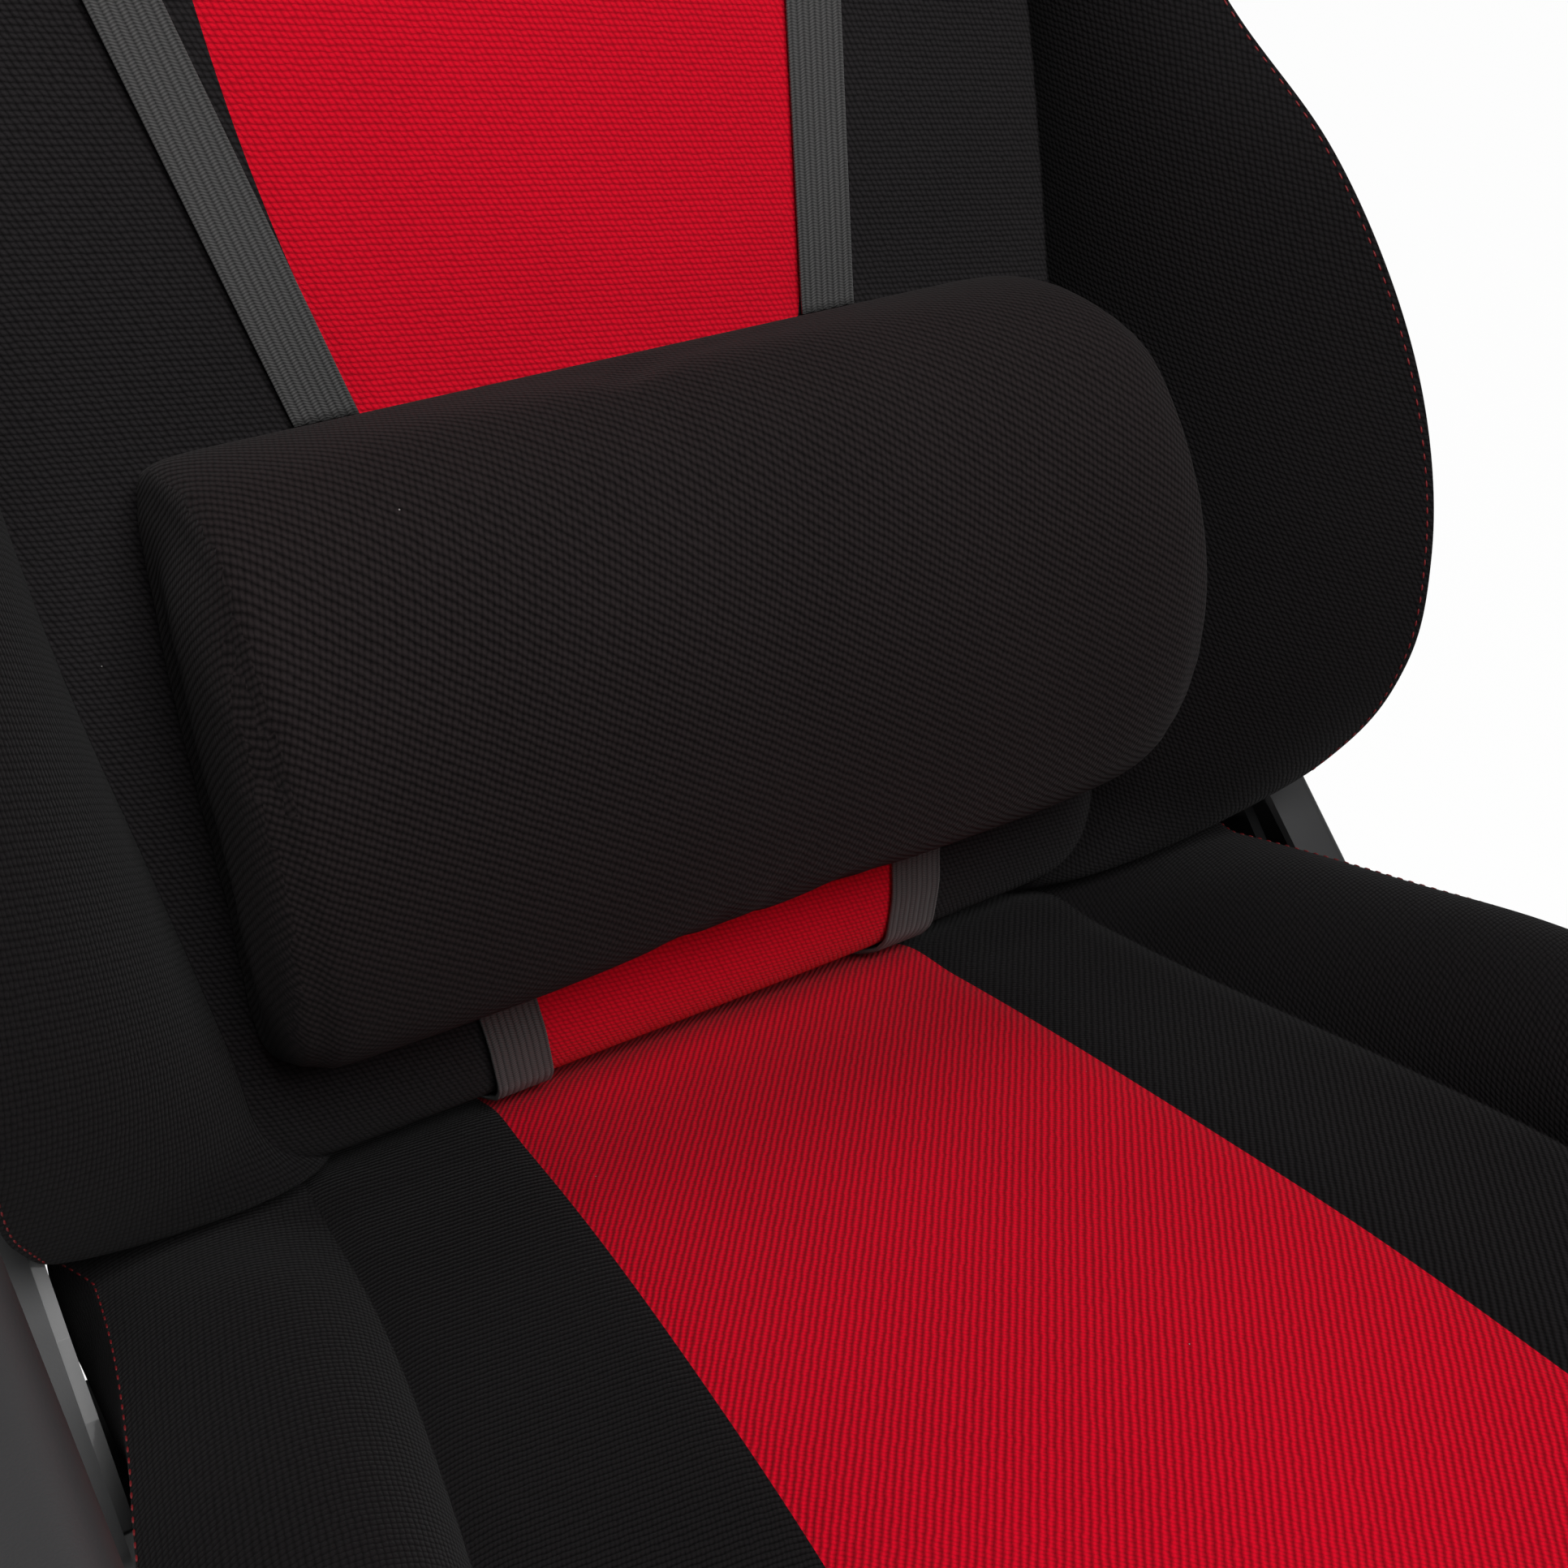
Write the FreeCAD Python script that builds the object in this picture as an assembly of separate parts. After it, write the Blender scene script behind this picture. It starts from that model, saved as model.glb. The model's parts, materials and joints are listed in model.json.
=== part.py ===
import FreeCAD, Part
import math
import os

# Racing style swivel chair, in millimetres. The sitter faces -Y, and +Z is up.
# The origin is the floor point under the swivel axis of the gas column.

V = FreeCAD.Vector
X_AXIS = V(1, 0, 0)
Y_AXIS = V(0, 1, 0)
Z_AXIS = V(0, 0, 1)

# Clearances, and how far a cut runs past what it cuts
running_gap = 0.05
soft_gap = 0.3
slide_gap = 0.2
turning_gap = 0.3
past = 1.0
far = 400.0

# Seat height, where the backrest meets the seat, and how far the backrest leans
seat_underside = 380.0
seat_thickness = 75.0
junction_y = 200.0
junction_z = seat_underside + seat_thickness
back_lean = 4.4

# Seat cushion
seat_pocket_depth = 22.6
seat_side_bulge = 3.0
seat_valley_dip = 4.0
seat_side_inset = 8.0

# Seat frame and webbing
rail_size = 22.0
rail_wall = 1.5
rail_x = 200.0
rail_front_y = -236.0
rail_rear_y = 190.0
cross_rail_y = 85.0
rail_drop = 2.0
webbing_width = 55.0
webbing_front_gap = 50.0
webbing_rear_gap = 45.0
webbing_thickness = 1.8
webbing_count = 5
webbing_end_gap = 1.0
under_cover_thickness = 1.0
pocket_side_gap = 3.0

# Backrest cushion and its frame
back_fold_dip = 5.0
wing_bulge = 5.0
wing_bulge_share = 0.08
outer_face_bulge = 4.0
side_share = 0.55
side_corner_w = 15.0
back_tube_radius = 11.0
back_cross_radius = 8.5
back_tube_wall = 1.5
back_tube_w = -37.0
back_tube_foot_u = 214.0
back_tube_neck_u = 66.0
back_tube_foot_v = 22.0
back_tube_waist_v = 330.0
back_tube_neck_v = 560.0
back_tube_head_v = 715.0
back_tube_low_cross_v = 75.0
back_tube_knuckle = 0.6
rear_cover_crown = 13.0
rear_cover_inset = 5.0

# Harness openings through the backrest
harness_inner_u = 92.0
harness_outer_u = 218.0
harness_bottom_v = 592.0
harness_height = 60.0
harness_top_v = harness_bottom_v + harness_height
harness_corner = 20.0
bezel_wall = 4.0
bezel_flange = 8.0
bezel_flange_thickness = 4.0
bezel_front_w = -3.0
bezel_rear_w = -77.0

# Lumbar cushion and its elastic straps
lumbar_half_width = 184.0
strap_width = 22.5
strap_thickness = 1.4
strap_lift = 0.6
buckle_width = 40.0
buckle_height = 52.0
buckle_thickness = 11.0
buckle_slot_width = 32.0
buckle_slot_depth = 12.0
buckle_slot_height = 2.2
buckle_v = 300.0
buckle_grip = 8.0
buckle_corner = 3.0

# Recliner brackets, covers and lever
recline_y = 24.0
recline_z = 24.0
bracket_thickness = 5.0
lower_bracket_x = 262.5
bracket_gap = 0.3
recline_pin_radius = 8.0
recline_head_radius = 12.0
recline_head_thickness = 5.0
foot_inner_x = 185.0
foot_front_y = 112.0
foot_rear_y = 235.0
foot_bolt_front = 18.0
foot_bolt_rear = 50.0
bracket_corner = 3.0
upper_disc_radius = 30.0
cover_depth = 24.0
cover_wall = 2.5
cover_corner = 9.0
cover_rim = 5.0
lever_length = 118.0
lever_thickness = 7.0
lever_hub_radius = 17.0
lever_drop = 26.0

# Bolts
bolt_radius = 4.0
bolt_head_radius = 6.5
bolt_head_height = 5.0
bolt_depth = 14.0
stud_radius = 5.0

# Armrests
pad_top = seat_underside + 275.0
pad_thickness = 29.0
arm_x = 327.0
arm_y = -100.0
sleeve_depth = 60.0
sleeve_width = 34.0
sleeve_wall = 3.0
sleeve_corner = 9.0
sleeve_floor = 12.0
sleeve_top = pad_top - 95.0
arm_foot_depth = 84.0
arm_foot_corner = 8.0
arm_bolt_inset = 14.0
gusset_depth = 24.0
gusset_height = 60.0
gusset_y = 16.0
gusset_thickness = 6.0
support_height = 16.0
post_bottom = seat_underside + 20.0
post_top = pad_top - pad_thickness - support_height
post_flange_depth = 86.0
post_flange_width = 52.0
post_flange_thickness = 6.0
pad_inner_x = 282.0
pad_width = 92.0
pad_rear_y = 10.0
pad_length = 252.0
pad_corner = 24.0
pad_ridge = 6.0
pad_ridge_drop = 4.0
support_plate_thickness = 6.0
support_inset_x = 14.0
support_inset_y = 28.0
support_disc_radius = 26.0
support_corner = 12.0
swivel_pin_radius = 8.0
swivel_pin_depth = 26.0
button_width = 22.0
button_height = 14.0
button_depth = 12.0
button_stand = 5.0
button_travel = 3.0
button_z = sleeve_top + 12.0

# Tilt mechanism
housing_bottom = seat_underside - 75.0
pivot_y = -92.0
pivot_z = housing_bottom + 52.0
pivot_radius = 6.0
pivot_cap_radius = 9.0
pivot_cap_thickness = 3.0
housing_front_y = -112.0
housing_rear_y = 58.0
housing_front_height = 40.0
housing_rear_height = 29.0
housing_plate = 3.0
housing_half_width = 45.0
ear_thickness = 4.0
top_plate_half_width = 75.0
top_plate_front = -112.0
top_plate_rear = 112.0
top_plate_thickness = 4.0
plate_bolt_x = 60.0
top_plate_corner = 10.0
ear_half_depth = 16.0
ear_rear_depth = 30.0
ear_tip = 9.0
socket_radius = 22.0
socket_height = 31.0
knob_y = -62.0
knob_radius = 24.0
knob_height = 34.0
knob_lobes = 8
knob_lobe_radius = 6.0
knob_lobe_reach = 3.0
knob_edge = 3.0
knob_bolt_radius = 5.0
knob_bolt_reach = 38.0
spring_radius = 13.0
spring_wire = 3.5

# Height lever
lever_z = housing_bottom + 38.5
lever_inner_x = 12.0
lever_bend_x = -78.0
lever_elbow_x = -112.0
lever_elbow_drop = 21.5
lever_end_x = -262.0
lever_end_drop = 25.5
lever_rod_radius = 2.5
paddle_length = 76.0
paddle_width = 24.0
paddle_thickness = 10.0
paddle_corner = 4.5
bush_radius = 6.0
bush_inner_x = -26.0
bush_outer_x = -62.0
lever_tilt = 3.0

# Star base
leg_count = 5
leg_radius = 300.0
hub_radius = 38.0
hub_bottom = 75.0
hub_top = 135.0

# Gas column and telescopic cover
column_radius = 25.0
column_wall = 1.5
column_floor = 3.0
column_bottom = hub_bottom - 3.0
column_top = housing_bottom - 13.0
cylinder_radius = 14.0
cylinder_wall = 2.0
cylinder_end = 8.0
cylinder_bottom = column_bottom + 20.0
cylinder_top = housing_bottom + socket_height + 2.0
rod_radius = 5.0
rod_bearing_radius = 14.0
rod_clip_radius = 9.0
rod_ring = 3.0
rod_head_drop = 30.0
rod_head_length = 8.0
rod_tip = 6.0
guide_length = 60.0
cover_sleeve_wall = 1.5
cover_sleeve_gap = 0.3
lower_sleeve_radius = 37.0
lower_sleeve_share = 0.55
lower_sleeve_top = hub_top + lower_sleeve_share * (housing_bottom - hub_top)
middle_sleeve_bottom = hub_top + 17.0
middle_sleeve_top = lower_sleeve_top + 14.0
upper_sleeve_bottom = hub_top + 31.0
upper_sleeve_cap = 3.0

# Legs and castors
leg_half_width = 20.0
leg_drop = 16.0
leg_end_inset = 26.0
leg_curve_share = 0.35
leg_boss_radius = 17.0
leg_boss_bottom = 68.0
leg_boss_top = 92.0
leg_wall = 4.0
wheel_radius = 30.0
wheel_width = 19.0
wheel_inner_y = 6.0
wheel_rim = 3.0
axle_radius = 4.0
castor_trail = 18.0
stem_radius = 5.5
stem_rise = 18.0
hood_clearance = 2.2
hood_wall = 3.0
hood_mouth = 14.0
hood_web_radius = 12.0
fork_boss_radius = 9.5
wheel_dish_rim = 9.0
wheel_dish_depth = 1.5

lean = math.radians(back_lean)
rail_bottom = seat_underside - rail_drop
frame_top = rail_bottom + rail_size
plate_bottom = rail_bottom - bracket_thickness


# Small helpers

def box(x0, x1, y0, y1, z0, z1):
    return Part.makeBox(abs(x1 - x0), abs(y1 - y0), abs(z1 - z0), V(min(x0, x1), min(y0, y1), min(z0, z1)))


def rod(radius, start, end):
    start, end = V(*start), V(*end)
    return Part.makeCylinder(radius, (end - start).Length, start, end - start)


def tube(outer, inner, start, end):
    return rod(outer, start, end).cut(rod(inner, start, end))


def fuse(shapes):
    whole = shapes[0].fuse(shapes[1:]) if len(shapes) > 1 else shapes[0]
    return whole.removeSplitter()


def mirror_x(shape):
    return shape.mirror(V(0, 0, 0), X_AXIS)


def arc(a, b, c):
    return Part.Arc(a, b, c).toShape()


def line(a, b):
    return Part.makeLine(a, b)


def prism_x(points, x0, x1):
    wire = Part.makePolygon([V(x0, y, z) for y, z in points + points[:1]])
    return Part.Face(wire).extrude(V(x1 - x0, 0, 0))


def edges_along(shape, axis):
    found = []
    for edge in shape.Edges:
        if not isinstance(edge.Curve, (Part.Line, Part.LineSegment)):
            continue
        start, end = edge.Vertexes[0].Point, edge.Vertexes[-1].Point
        if (end - start).Length > 0.5 and abs((end - start).normalize().dot(axis)) > 0.999:
            found.append(edge)
    return found


def rounded_prism(points, x0, x1, corner):
    shape = prism_x(points, x0, x1)
    return shape.makeFillet(corner, edges_along(shape, X_AXIS))


def rounded_box(x0, x1, y0, y1, z0, z1, corner):
    shape = box(x0, x1, y0, y1, z0, z1)
    return shape.makeFillet(corner, edges_along(shape, Z_AXIS))


def square_tube(x0, x1, y0, y1, z0, z1):
    w = rail_wall
    return box(x0, x1, y0, y1, z0, z1).cut(box(x0 + w, x1 - w, y0 + w, y1 - w, z0 + w, z1 - w))


def back_point(u, v, w):
    y = junction_y + v * math.sin(lean) - w * math.cos(lean)
    z = junction_z + v * math.cos(lean) + w * math.sin(lean)
    return V(u, y, z)


def to_back(shape):
    turned = shape.copy()
    turned.rotate(V(0, 0, 0), X_AXIS, -back_lean)
    turned.translate(V(0, junction_y, junction_z))
    return turned


def export(name, shapes):
    solids = []
    for shape in shapes:
        solids.extend(shape.Solids)
    whole = solids[0] if len(solids) == 1 else Part.Compound(solids)
    whole.exportStep("parts/%s.step" % name)
    print(name, len(solids), round(whole.Volume / 1000.0, 2), whole.isValid())


# Star base and castors

def leg_section(reach, half_width, low, high, inset):
    half = half_width - inset
    top = high - inset
    shoulder = top - leg_curve_share * (high - low)
    points = [V(reach, -half, low), V(reach, half, low), V(reach, half, shoulder)]
    edges = [line(points[0], points[1]), line(points[1], points[2])]
    edges.append(arc(points[2], V(reach, 0, top), V(reach, -half, shoulder)))
    edges.append(line(V(reach, -half, shoulder), points[0]))
    return Part.Wire(edges)


def base_leg():
    root, knee, end = 0.6 * hub_radius, 0.5 * (hub_radius + leg_radius), leg_radius - leg_end_inset
    wide, mid, slim = leg_half_width + 5, leg_half_width, leg_half_width - 4
    knee_low, knee_top = hub_bottom + 9, hub_top - leg_drop - 5
    outer = [(root, wide, hub_bottom + 15, hub_top - 5), (knee, mid, knee_low, knee_top),
             (leg_radius, slim, leg_boss_bottom, leg_boss_top)]
    hollow = [(hub_radius + 8, wide - 1, hub_bottom + 5, hub_top - 7), (knee, mid, knee_low - 4, knee_top),
              (end, slim + 0.5, leg_boss_bottom - 8, leg_boss_top + 2)]
    leg = Part.makeLoft([leg_section(r, h, lo, hi, 0) for r, h, lo, hi in outer], True, False)
    inside = Part.makeLoft([leg_section(r, h, lo, hi, leg_wall) for r, h, lo, hi in hollow], True, False)
    boss = rod(leg_boss_radius, (leg_radius, 0, leg_boss_bottom), (leg_radius, 0, leg_boss_top))
    socket = rod(stem_radius + running_gap, (leg_radius, 0, leg_boss_bottom), (leg_radius, 0, leg_boss_top - 2))
    return leg.cut(inside).fuse(boss).cut(socket)


def leg_angle(index):
    return -90.0 + index * 360.0 / leg_count


def star_base():
    body = rod(hub_radius, (0, 0, hub_bottom), (0, 0, hub_top))
    leg = base_leg()
    for index in range(leg_count):
        turned = leg.copy()
        turned.rotate(V(0, 0, 0), Z_AXIS, leg_angle(index))
        body = body.fuse(turned)
    bore = rod(column_radius + running_gap, (0, 0, 0), (0, 0, hub_top))
    return body.removeSplitter().cut(bore)


def place_castor(shape, index):
    placed = shape.copy()
    placed.translate(V(leg_radius, 0, 0))
    placed.rotate(V(0, 0, 0), Z_AXIS, leg_angle(index))
    return placed


def castor_hood():
    axle = (castor_trail, wheel_radius)
    inner = wheel_radius + hood_clearance
    outer = inner + hood_wall
    half = wheel_inner_y + wheel_width + 1
    hood = rod(outer, (axle[0], -half, axle[1]), (axle[0], half, axle[1]))
    hood = hood.cut(rod(inner, (axle[0], -half, axle[1]), (axle[0], half, axle[1])))
    mouth = wheel_radius + hood_mouth
    hood = hood.cut(box(-far, far, -half, half, -far, mouth))
    hood = hood.cut(box(castor_trail + hood_mouth, far, -half, half, 0, far))
    rib_y = wheel_inner_y - 0.5
    web = rod(hood_web_radius, (axle[0], -rib_y, axle[1]), (axle[0], rib_y, axle[1]))
    rib_top = wheel_radius + inner - hood_wall
    rib = box(1.5 - fork_boss_radius, axle[0] + 6, -rib_y, rib_y, wheel_radius, rib_top)
    boss = rod(fork_boss_radius, (0, 0, mouth), (0, 0, leg_boss_bottom - turning_gap))
    wheel_room = rod(inner, (axle[0], rib_y, axle[1]), (axle[0], half, axle[1]))
    other_room = rod(inner, (axle[0], -half, axle[1]), (axle[0], -rib_y, axle[1]))
    body = fuse([hood, web, rib, boss]).cut(wheel_room).cut(other_room)
    body = body.cut(rod(axle_radius, (axle[0], -half, axle[1]), (axle[0], half, axle[1])))
    return body.cut(rod(stem_radius, (0, 0, wheel_radius + stem_rise), (0, 0, leg_boss_bottom)))


def castor_pins():
    reach = wheel_inner_y + wheel_width - 3
    axle = rod(axle_radius, (castor_trail, -reach, wheel_radius), (castor_trail, reach, wheel_radius))
    stem = rod(stem_radius, (0, 0, wheel_radius + stem_rise), (0, 0, leg_boss_top - 3))
    return [axle, stem]


def castor_wheel(side):
    inner = side * wheel_inner_y
    outer = side * (wheel_inner_y + wheel_width)
    wheel = rod(wheel_radius, (castor_trail, inner, wheel_radius), (castor_trail, outer, wheel_radius))
    rims = [e for e in wheel.Edges if isinstance(e.Curve, Part.Circle)]
    wheel = wheel.makeFillet(wheel_rim, rims)
    dish_y = outer - side * wheel_dish_depth
    places = [(castor_trail, y, wheel_radius) for y in (inner, dish_y - side, dish_y, outer)]
    dish = rod(wheel_radius - wheel_dish_rim, places[2], places[3])
    bore = rod(axle_radius + running_gap, places[0], places[1])
    return wheel.cut(dish).cut(bore)


# Gas column

def gas_outer_tube():
    wall = tube(column_radius, column_radius - column_wall, (0, 0, column_bottom), (0, 0, column_top))
    floor_top = (0, 0, column_bottom + column_floor)
    floor = tube(column_radius, rod_radius + slide_gap, (0, 0, column_bottom), floor_top)
    return wall.fuse(floor)


def gas_guide_bush():
    outer = column_radius - column_wall - 0.01
    return tube(outer, cylinder_radius + running_gap, (0, 0, column_top - guide_length), (0, 0, column_top))


def gas_piston_rod():
    floor = column_bottom + column_floor + slide_gap
    foot = column_bottom - rod_ring
    head_top = cylinder_top - rod_head_drop
    bearing = rod(rod_bearing_radius, (0, 0, floor), (0, 0, floor + rod_ring))
    clip = rod(rod_clip_radius, (0, 0, foot), (0, 0, column_bottom - turning_gap))
    head_radius = cylinder_radius - cylinder_wall - running_gap
    head = rod(head_radius, (0, 0, head_top - rod_head_length), (0, 0, head_top))
    shaft = rod(rod_radius, (0, 0, foot), (0, 0, head_top + rod_tip))
    return fuse([shaft, bearing, clip, head])


def gas_inner_tube():
    inner = cylinder_radius - cylinder_wall
    body = rod(cylinder_radius, (0, 0, cylinder_bottom), (0, 0, cylinder_top))
    floor = cylinder_bottom + cylinder_end
    body = body.cut(rod(inner, (0, 0, floor), (0, 0, cylinder_top - cylinder_end)))
    return body.cut(rod(rod_radius + running_gap, (0, 0, cylinder_bottom), (0, 0, floor)))


def sleeve(outer, bottom, top):
    return tube(outer, outer - cover_sleeve_wall, (0, 0, bottom), (0, 0, top))


def cover_lower():
    return sleeve(lower_sleeve_radius, hub_top, lower_sleeve_top)


def cover_middle():
    outer = lower_sleeve_radius - cover_sleeve_wall - cover_sleeve_gap
    return sleeve(outer, middle_sleeve_bottom, middle_sleeve_top)


def cover_upper():
    outer = lower_sleeve_radius - 2 * (cover_sleeve_wall + cover_sleeve_gap)
    wall = sleeve(outer, upper_sleeve_bottom, housing_bottom)
    cap_bottom = housing_bottom - upper_sleeve_cap
    cap = tube(outer, cylinder_radius + slide_gap, (0, 0, cap_bottom), (0, 0, housing_bottom))
    return wall.fuse(cap)


# Tilt mechanism

def mechanism_housing():
    b = housing_bottom
    front_y, rear_y = housing_front_y, housing_rear_y
    crest = pivot_z + 10
    profile = [(front_y, b), (rear_y, b), (rear_y, b + housing_rear_height + 4), (rear_y - 48, b + 44.8),
               (rear_y - 68, b + 48.5), (pivot_y + 16, crest), (pivot_y - 16, crest),
               (front_y, b + housing_front_height + 5)]
    w = housing_half_width
    t = housing_plate
    walls = [prism_x(profile, w - t, w), prism_x(profile, -w, t - w)]
    floor = box(-w, w, front_y, rear_y, b, b + t)
    front = box(-w, w, front_y, front_y + t, b, b + housing_front_height)
    rear = box(-w, w, rear_y - t, rear_y, b, b + housing_rear_height)
    socket = rod(socket_radius, (0, 0, b), (0, 0, b + socket_height))
    body = fuse(walls + [floor, front, rear, socket])
    body = body.cut(rod(cylinder_radius, (0, 0, b - past), (0, 0, b + socket_height + past)))
    body = body.cut(rod(pivot_radius, (-w, pivot_y, pivot_z), (w, pivot_y, pivot_z)))
    body = body.cut(rod(bush_radius + running_gap, (-w - past, 0, lever_z), (t - w + past, 0, lever_z)))
    return body.cut(rod(knob_bolt_radius + slide_gap, (0, knob_y, b - past), (0, knob_y, b + t + past)))


def tilt_pin():
    reach = housing_half_width + ear_thickness + 2 * turning_gap
    end = reach + pivot_cap_thickness
    pin = rod(pivot_radius, (-reach, pivot_y, pivot_z), (reach, pivot_y, pivot_z))
    caps = [rod(pivot_cap_radius, (s * reach, pivot_y, pivot_z), (s * end, pivot_y, pivot_z)) for s in (-1, 1)]
    return fuse([pin] + caps)


def mechanism_top_plate():
    top = plate_bottom + bracket_thickness
    low = top - top_plate_thickness
    wide = top_plate_half_width
    plate = rounded_box(-wide, wide, top_plate_front, top_plate_rear, low, top, top_plate_corner)
    ears = []
    for side in (-1, 1):
        inner = side * (housing_half_width + turning_gap)
        outer = side * (housing_half_width + turning_gap + ear_thickness)
        profile = [(pivot_y - ear_half_depth, low + 1), (pivot_y + ear_rear_depth, low + 1),
                   (pivot_y + ear_tip, pivot_z - ear_tip), (pivot_y - ear_tip, pivot_z - ear_tip)]
        ears.append(prism_x(profile, inner, outer))
    body = fuse([plate] + ears)
    reach = housing_half_width + 2 * ear_thickness
    body = body.cut(rod(pivot_radius + running_gap, (-reach, pivot_y, pivot_z), (reach, pivot_y, pivot_z)))
    return body.cut(bolt_holes(plate_bolts(), low - past, top + past))


def plate_bolts():
    return [(sx * plate_bolt_x, sy * cross_rail_y) for sx in (-1, 1) for sy in (-1, 1)]


def tension_spring():
    low = housing_bottom + housing_plate
    high = plate_bottom + bracket_thickness - top_plate_thickness
    return tube(spring_radius, spring_radius - spring_wire, (0, knob_y, low), (0, knob_y, high))


def tension_knob():
    top = housing_bottom - turning_gap
    low = top - knob_height
    knob = rod(knob_radius, (0, knob_y, low), (0, knob_y, top))
    knob = knob.makeFillet(knob_edge, [e for e in knob.Edges if isinstance(e.Curve, Part.Circle)])
    reach = knob_radius + knob_lobe_reach
    for index in range(knob_lobes):
        angle = 2 * math.pi * index / knob_lobes
        x, y = reach * math.cos(angle), knob_y + reach * math.sin(angle)
        knob = knob.cut(rod(knob_lobe_radius, (x, y, low - past), (x, y, top + past)))
    bolt = rod(knob_bolt_radius, (0, knob_y, top - past), (0, knob_y, housing_bottom + knob_bolt_reach))
    return knob.fuse(bolt)


def lever_bush():
    body = rod(bush_radius, (bush_inner_x, 0, lever_z), (bush_outer_x, 0, lever_z))
    middle = 0.5 * (bush_inner_x + bush_outer_x)
    waist = lever_rod_radius + running_gap
    half = abs(bush_inner_x - middle)
    mouth = waist + half * math.tan(math.radians(lever_tilt)) + slide_gap
    inner = Part.makeCone(waist, mouth, half, V(middle, 0, lever_z), V(1, 0, 0))
    outer = Part.makeCone(waist, mouth, half, V(middle, 0, lever_z), V(-1, 0, 0))
    return body.cut(inner).cut(outer)


def height_lever():
    bend = (lever_bend_x, 0, lever_z)
    elbow = (lever_elbow_x, 0, lever_z - lever_elbow_drop)
    end = (lever_end_x, 0, lever_z - lever_end_drop)
    shaft = rod(lever_rod_radius, (lever_inner_x, 0, lever_z), bend)
    slope = rod(lever_rod_radius, bend, elbow)
    outer = rod(lever_rod_radius, elbow, end)
    joints = [Part.makeSphere(lever_rod_radius, V(*bend)), Part.makeSphere(lever_rod_radius, V(*elbow))]
    tip, half_width, half_height = lever_end_x - 6, 0.5 * paddle_width, 0.5 * paddle_thickness
    paddle = box(tip, tip + paddle_length, -half_width, half_width, end[2] - half_height, end[2] + half_height)
    paddle = paddle.makeFillet(paddle_corner, paddle.Edges)
    return fuse([shaft, slope, outer, paddle] + joints)


# Seat

def seat_centre_height(s):
    return 0.0858 * s - 0.0003 * s * s


# Each station: depth from the junction, drop at the ends, valley x, crest x, crest height,
# outer seam x and outer seam height, the heights above the centre line of the seat.
seat_stations = (
    (-24.0, 14.0, 164.0, 203.0, 2.0, 236.0, 0.5),
    (-20.0, 8.0, 166.0, 206.0, 3.0, 242.0, 1.0),
    (-10.0, 4.8, 168.0, 208.0, 3.0, 247.0, 2.0),
    (6.0, 0.0, 170.0, 212.0, 6.5, 250.0, 6.0),
    (35.0, 0.0, 171.0, 214.0, 10.5, 250.8, 9.5),
    (80.0, 0.0, 173.0, 220.0, 20.0, 254.3, 13.8),
    (130.0, 0.0, 178.0, 226.0, 26.0, 261.6, 16.5),
    (190.0, 0.0, 187.0, 233.0, 33.0, 272.5, 20.0),
    (260.0, 0.0, 199.0, 241.0, 38.0, 276.0, 23.5),
    (330.0, 2.0, 205.0, 244.0, 40.0, 275.0, 25.0),
    (400.0, 6.0, 207.0, 242.0, 37.0, 271.0, 23.0),
    (445.0, 11.0, 207.0, 239.0, 30.0, 265.0, 18.0),
    (472.0, 18.0, 206.0, 234.0, 22.0, 257.0, 11.0),
    (486.0, 27.0, 203.0, 226.0, 12.0, 245.0, 4.0),
    (490.0, 35.0, 196.0, 214.0, 5.0, 230.0, 0.0),
)


def seat_section(station):
    s, drop, valley_x, crest_x, crest_h, seam_x, seam_h = station
    y = junction_y - s
    centre = junction_z + seat_centre_height(s) - drop
    valley = centre - seat_valley_dip
    seam = centre + seam_h
    foot_x = seam_x - seat_side_inset
    low = seat_underside
    half_up = 0.5 * (low + seam)
    seam_left, seam_right = V(-seam_x, y, seam), V(seam_x, y, seam)
    side_left, side_right = V(-seam_x - seat_side_bulge, y, half_up), V(seam_x + seat_side_bulge, y, half_up)
    foot_left, foot_right = V(-foot_x, y, low), V(foot_x, y, low)
    valley_left, valley_right = V(-valley_x, y, valley), V(valley_x, y, valley)
    crest_left, crest_right = V(-crest_x, y, centre + crest_h), V(crest_x, y, centre + crest_h)
    return Part.Wire([
        line(foot_left, foot_right),
        arc(foot_right, side_right, seam_right),
        arc(seam_right, crest_right, valley_right),
        arc(valley_right, V(0, y, centre), valley_left),
        arc(valley_left, crest_left, seam_left),
        arc(seam_left, side_left, foot_left),
    ])


def seat_cushion():
    body = Part.makeLoft([seat_section(station) for station in seat_stations], True, False)
    half = rail_x + 0.5 * rail_size + pocket_side_gap
    front = rail_front_y - 0.5 * rail_size - pocket_side_gap
    rear = rail_rear_y + 0.5 * rail_size + pocket_side_gap
    pocket = box(-half, half, front, rear, seat_underside - past, seat_underside + seat_pocket_depth)
    return body.cut(pocket)


def foot_bolts():
    rows = (foot_front_y + foot_bolt_front, foot_rear_y - foot_bolt_rear)
    return [(sx * rail_x, y) for sx in (-1, 1) for y in rows]


def arm_bolts():
    reach = 0.5 * arm_foot_depth - arm_bolt_inset
    return [(sx * rail_x, arm_y + sy * reach) for sx in (-1, 1) for sy in (-1, 1)]


def bolt_holes(places, z0, z1):
    return Part.Compound([rod(bolt_radius + slide_gap, (x, y, z0), (x, y, z1)) for x, y in places])


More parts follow.
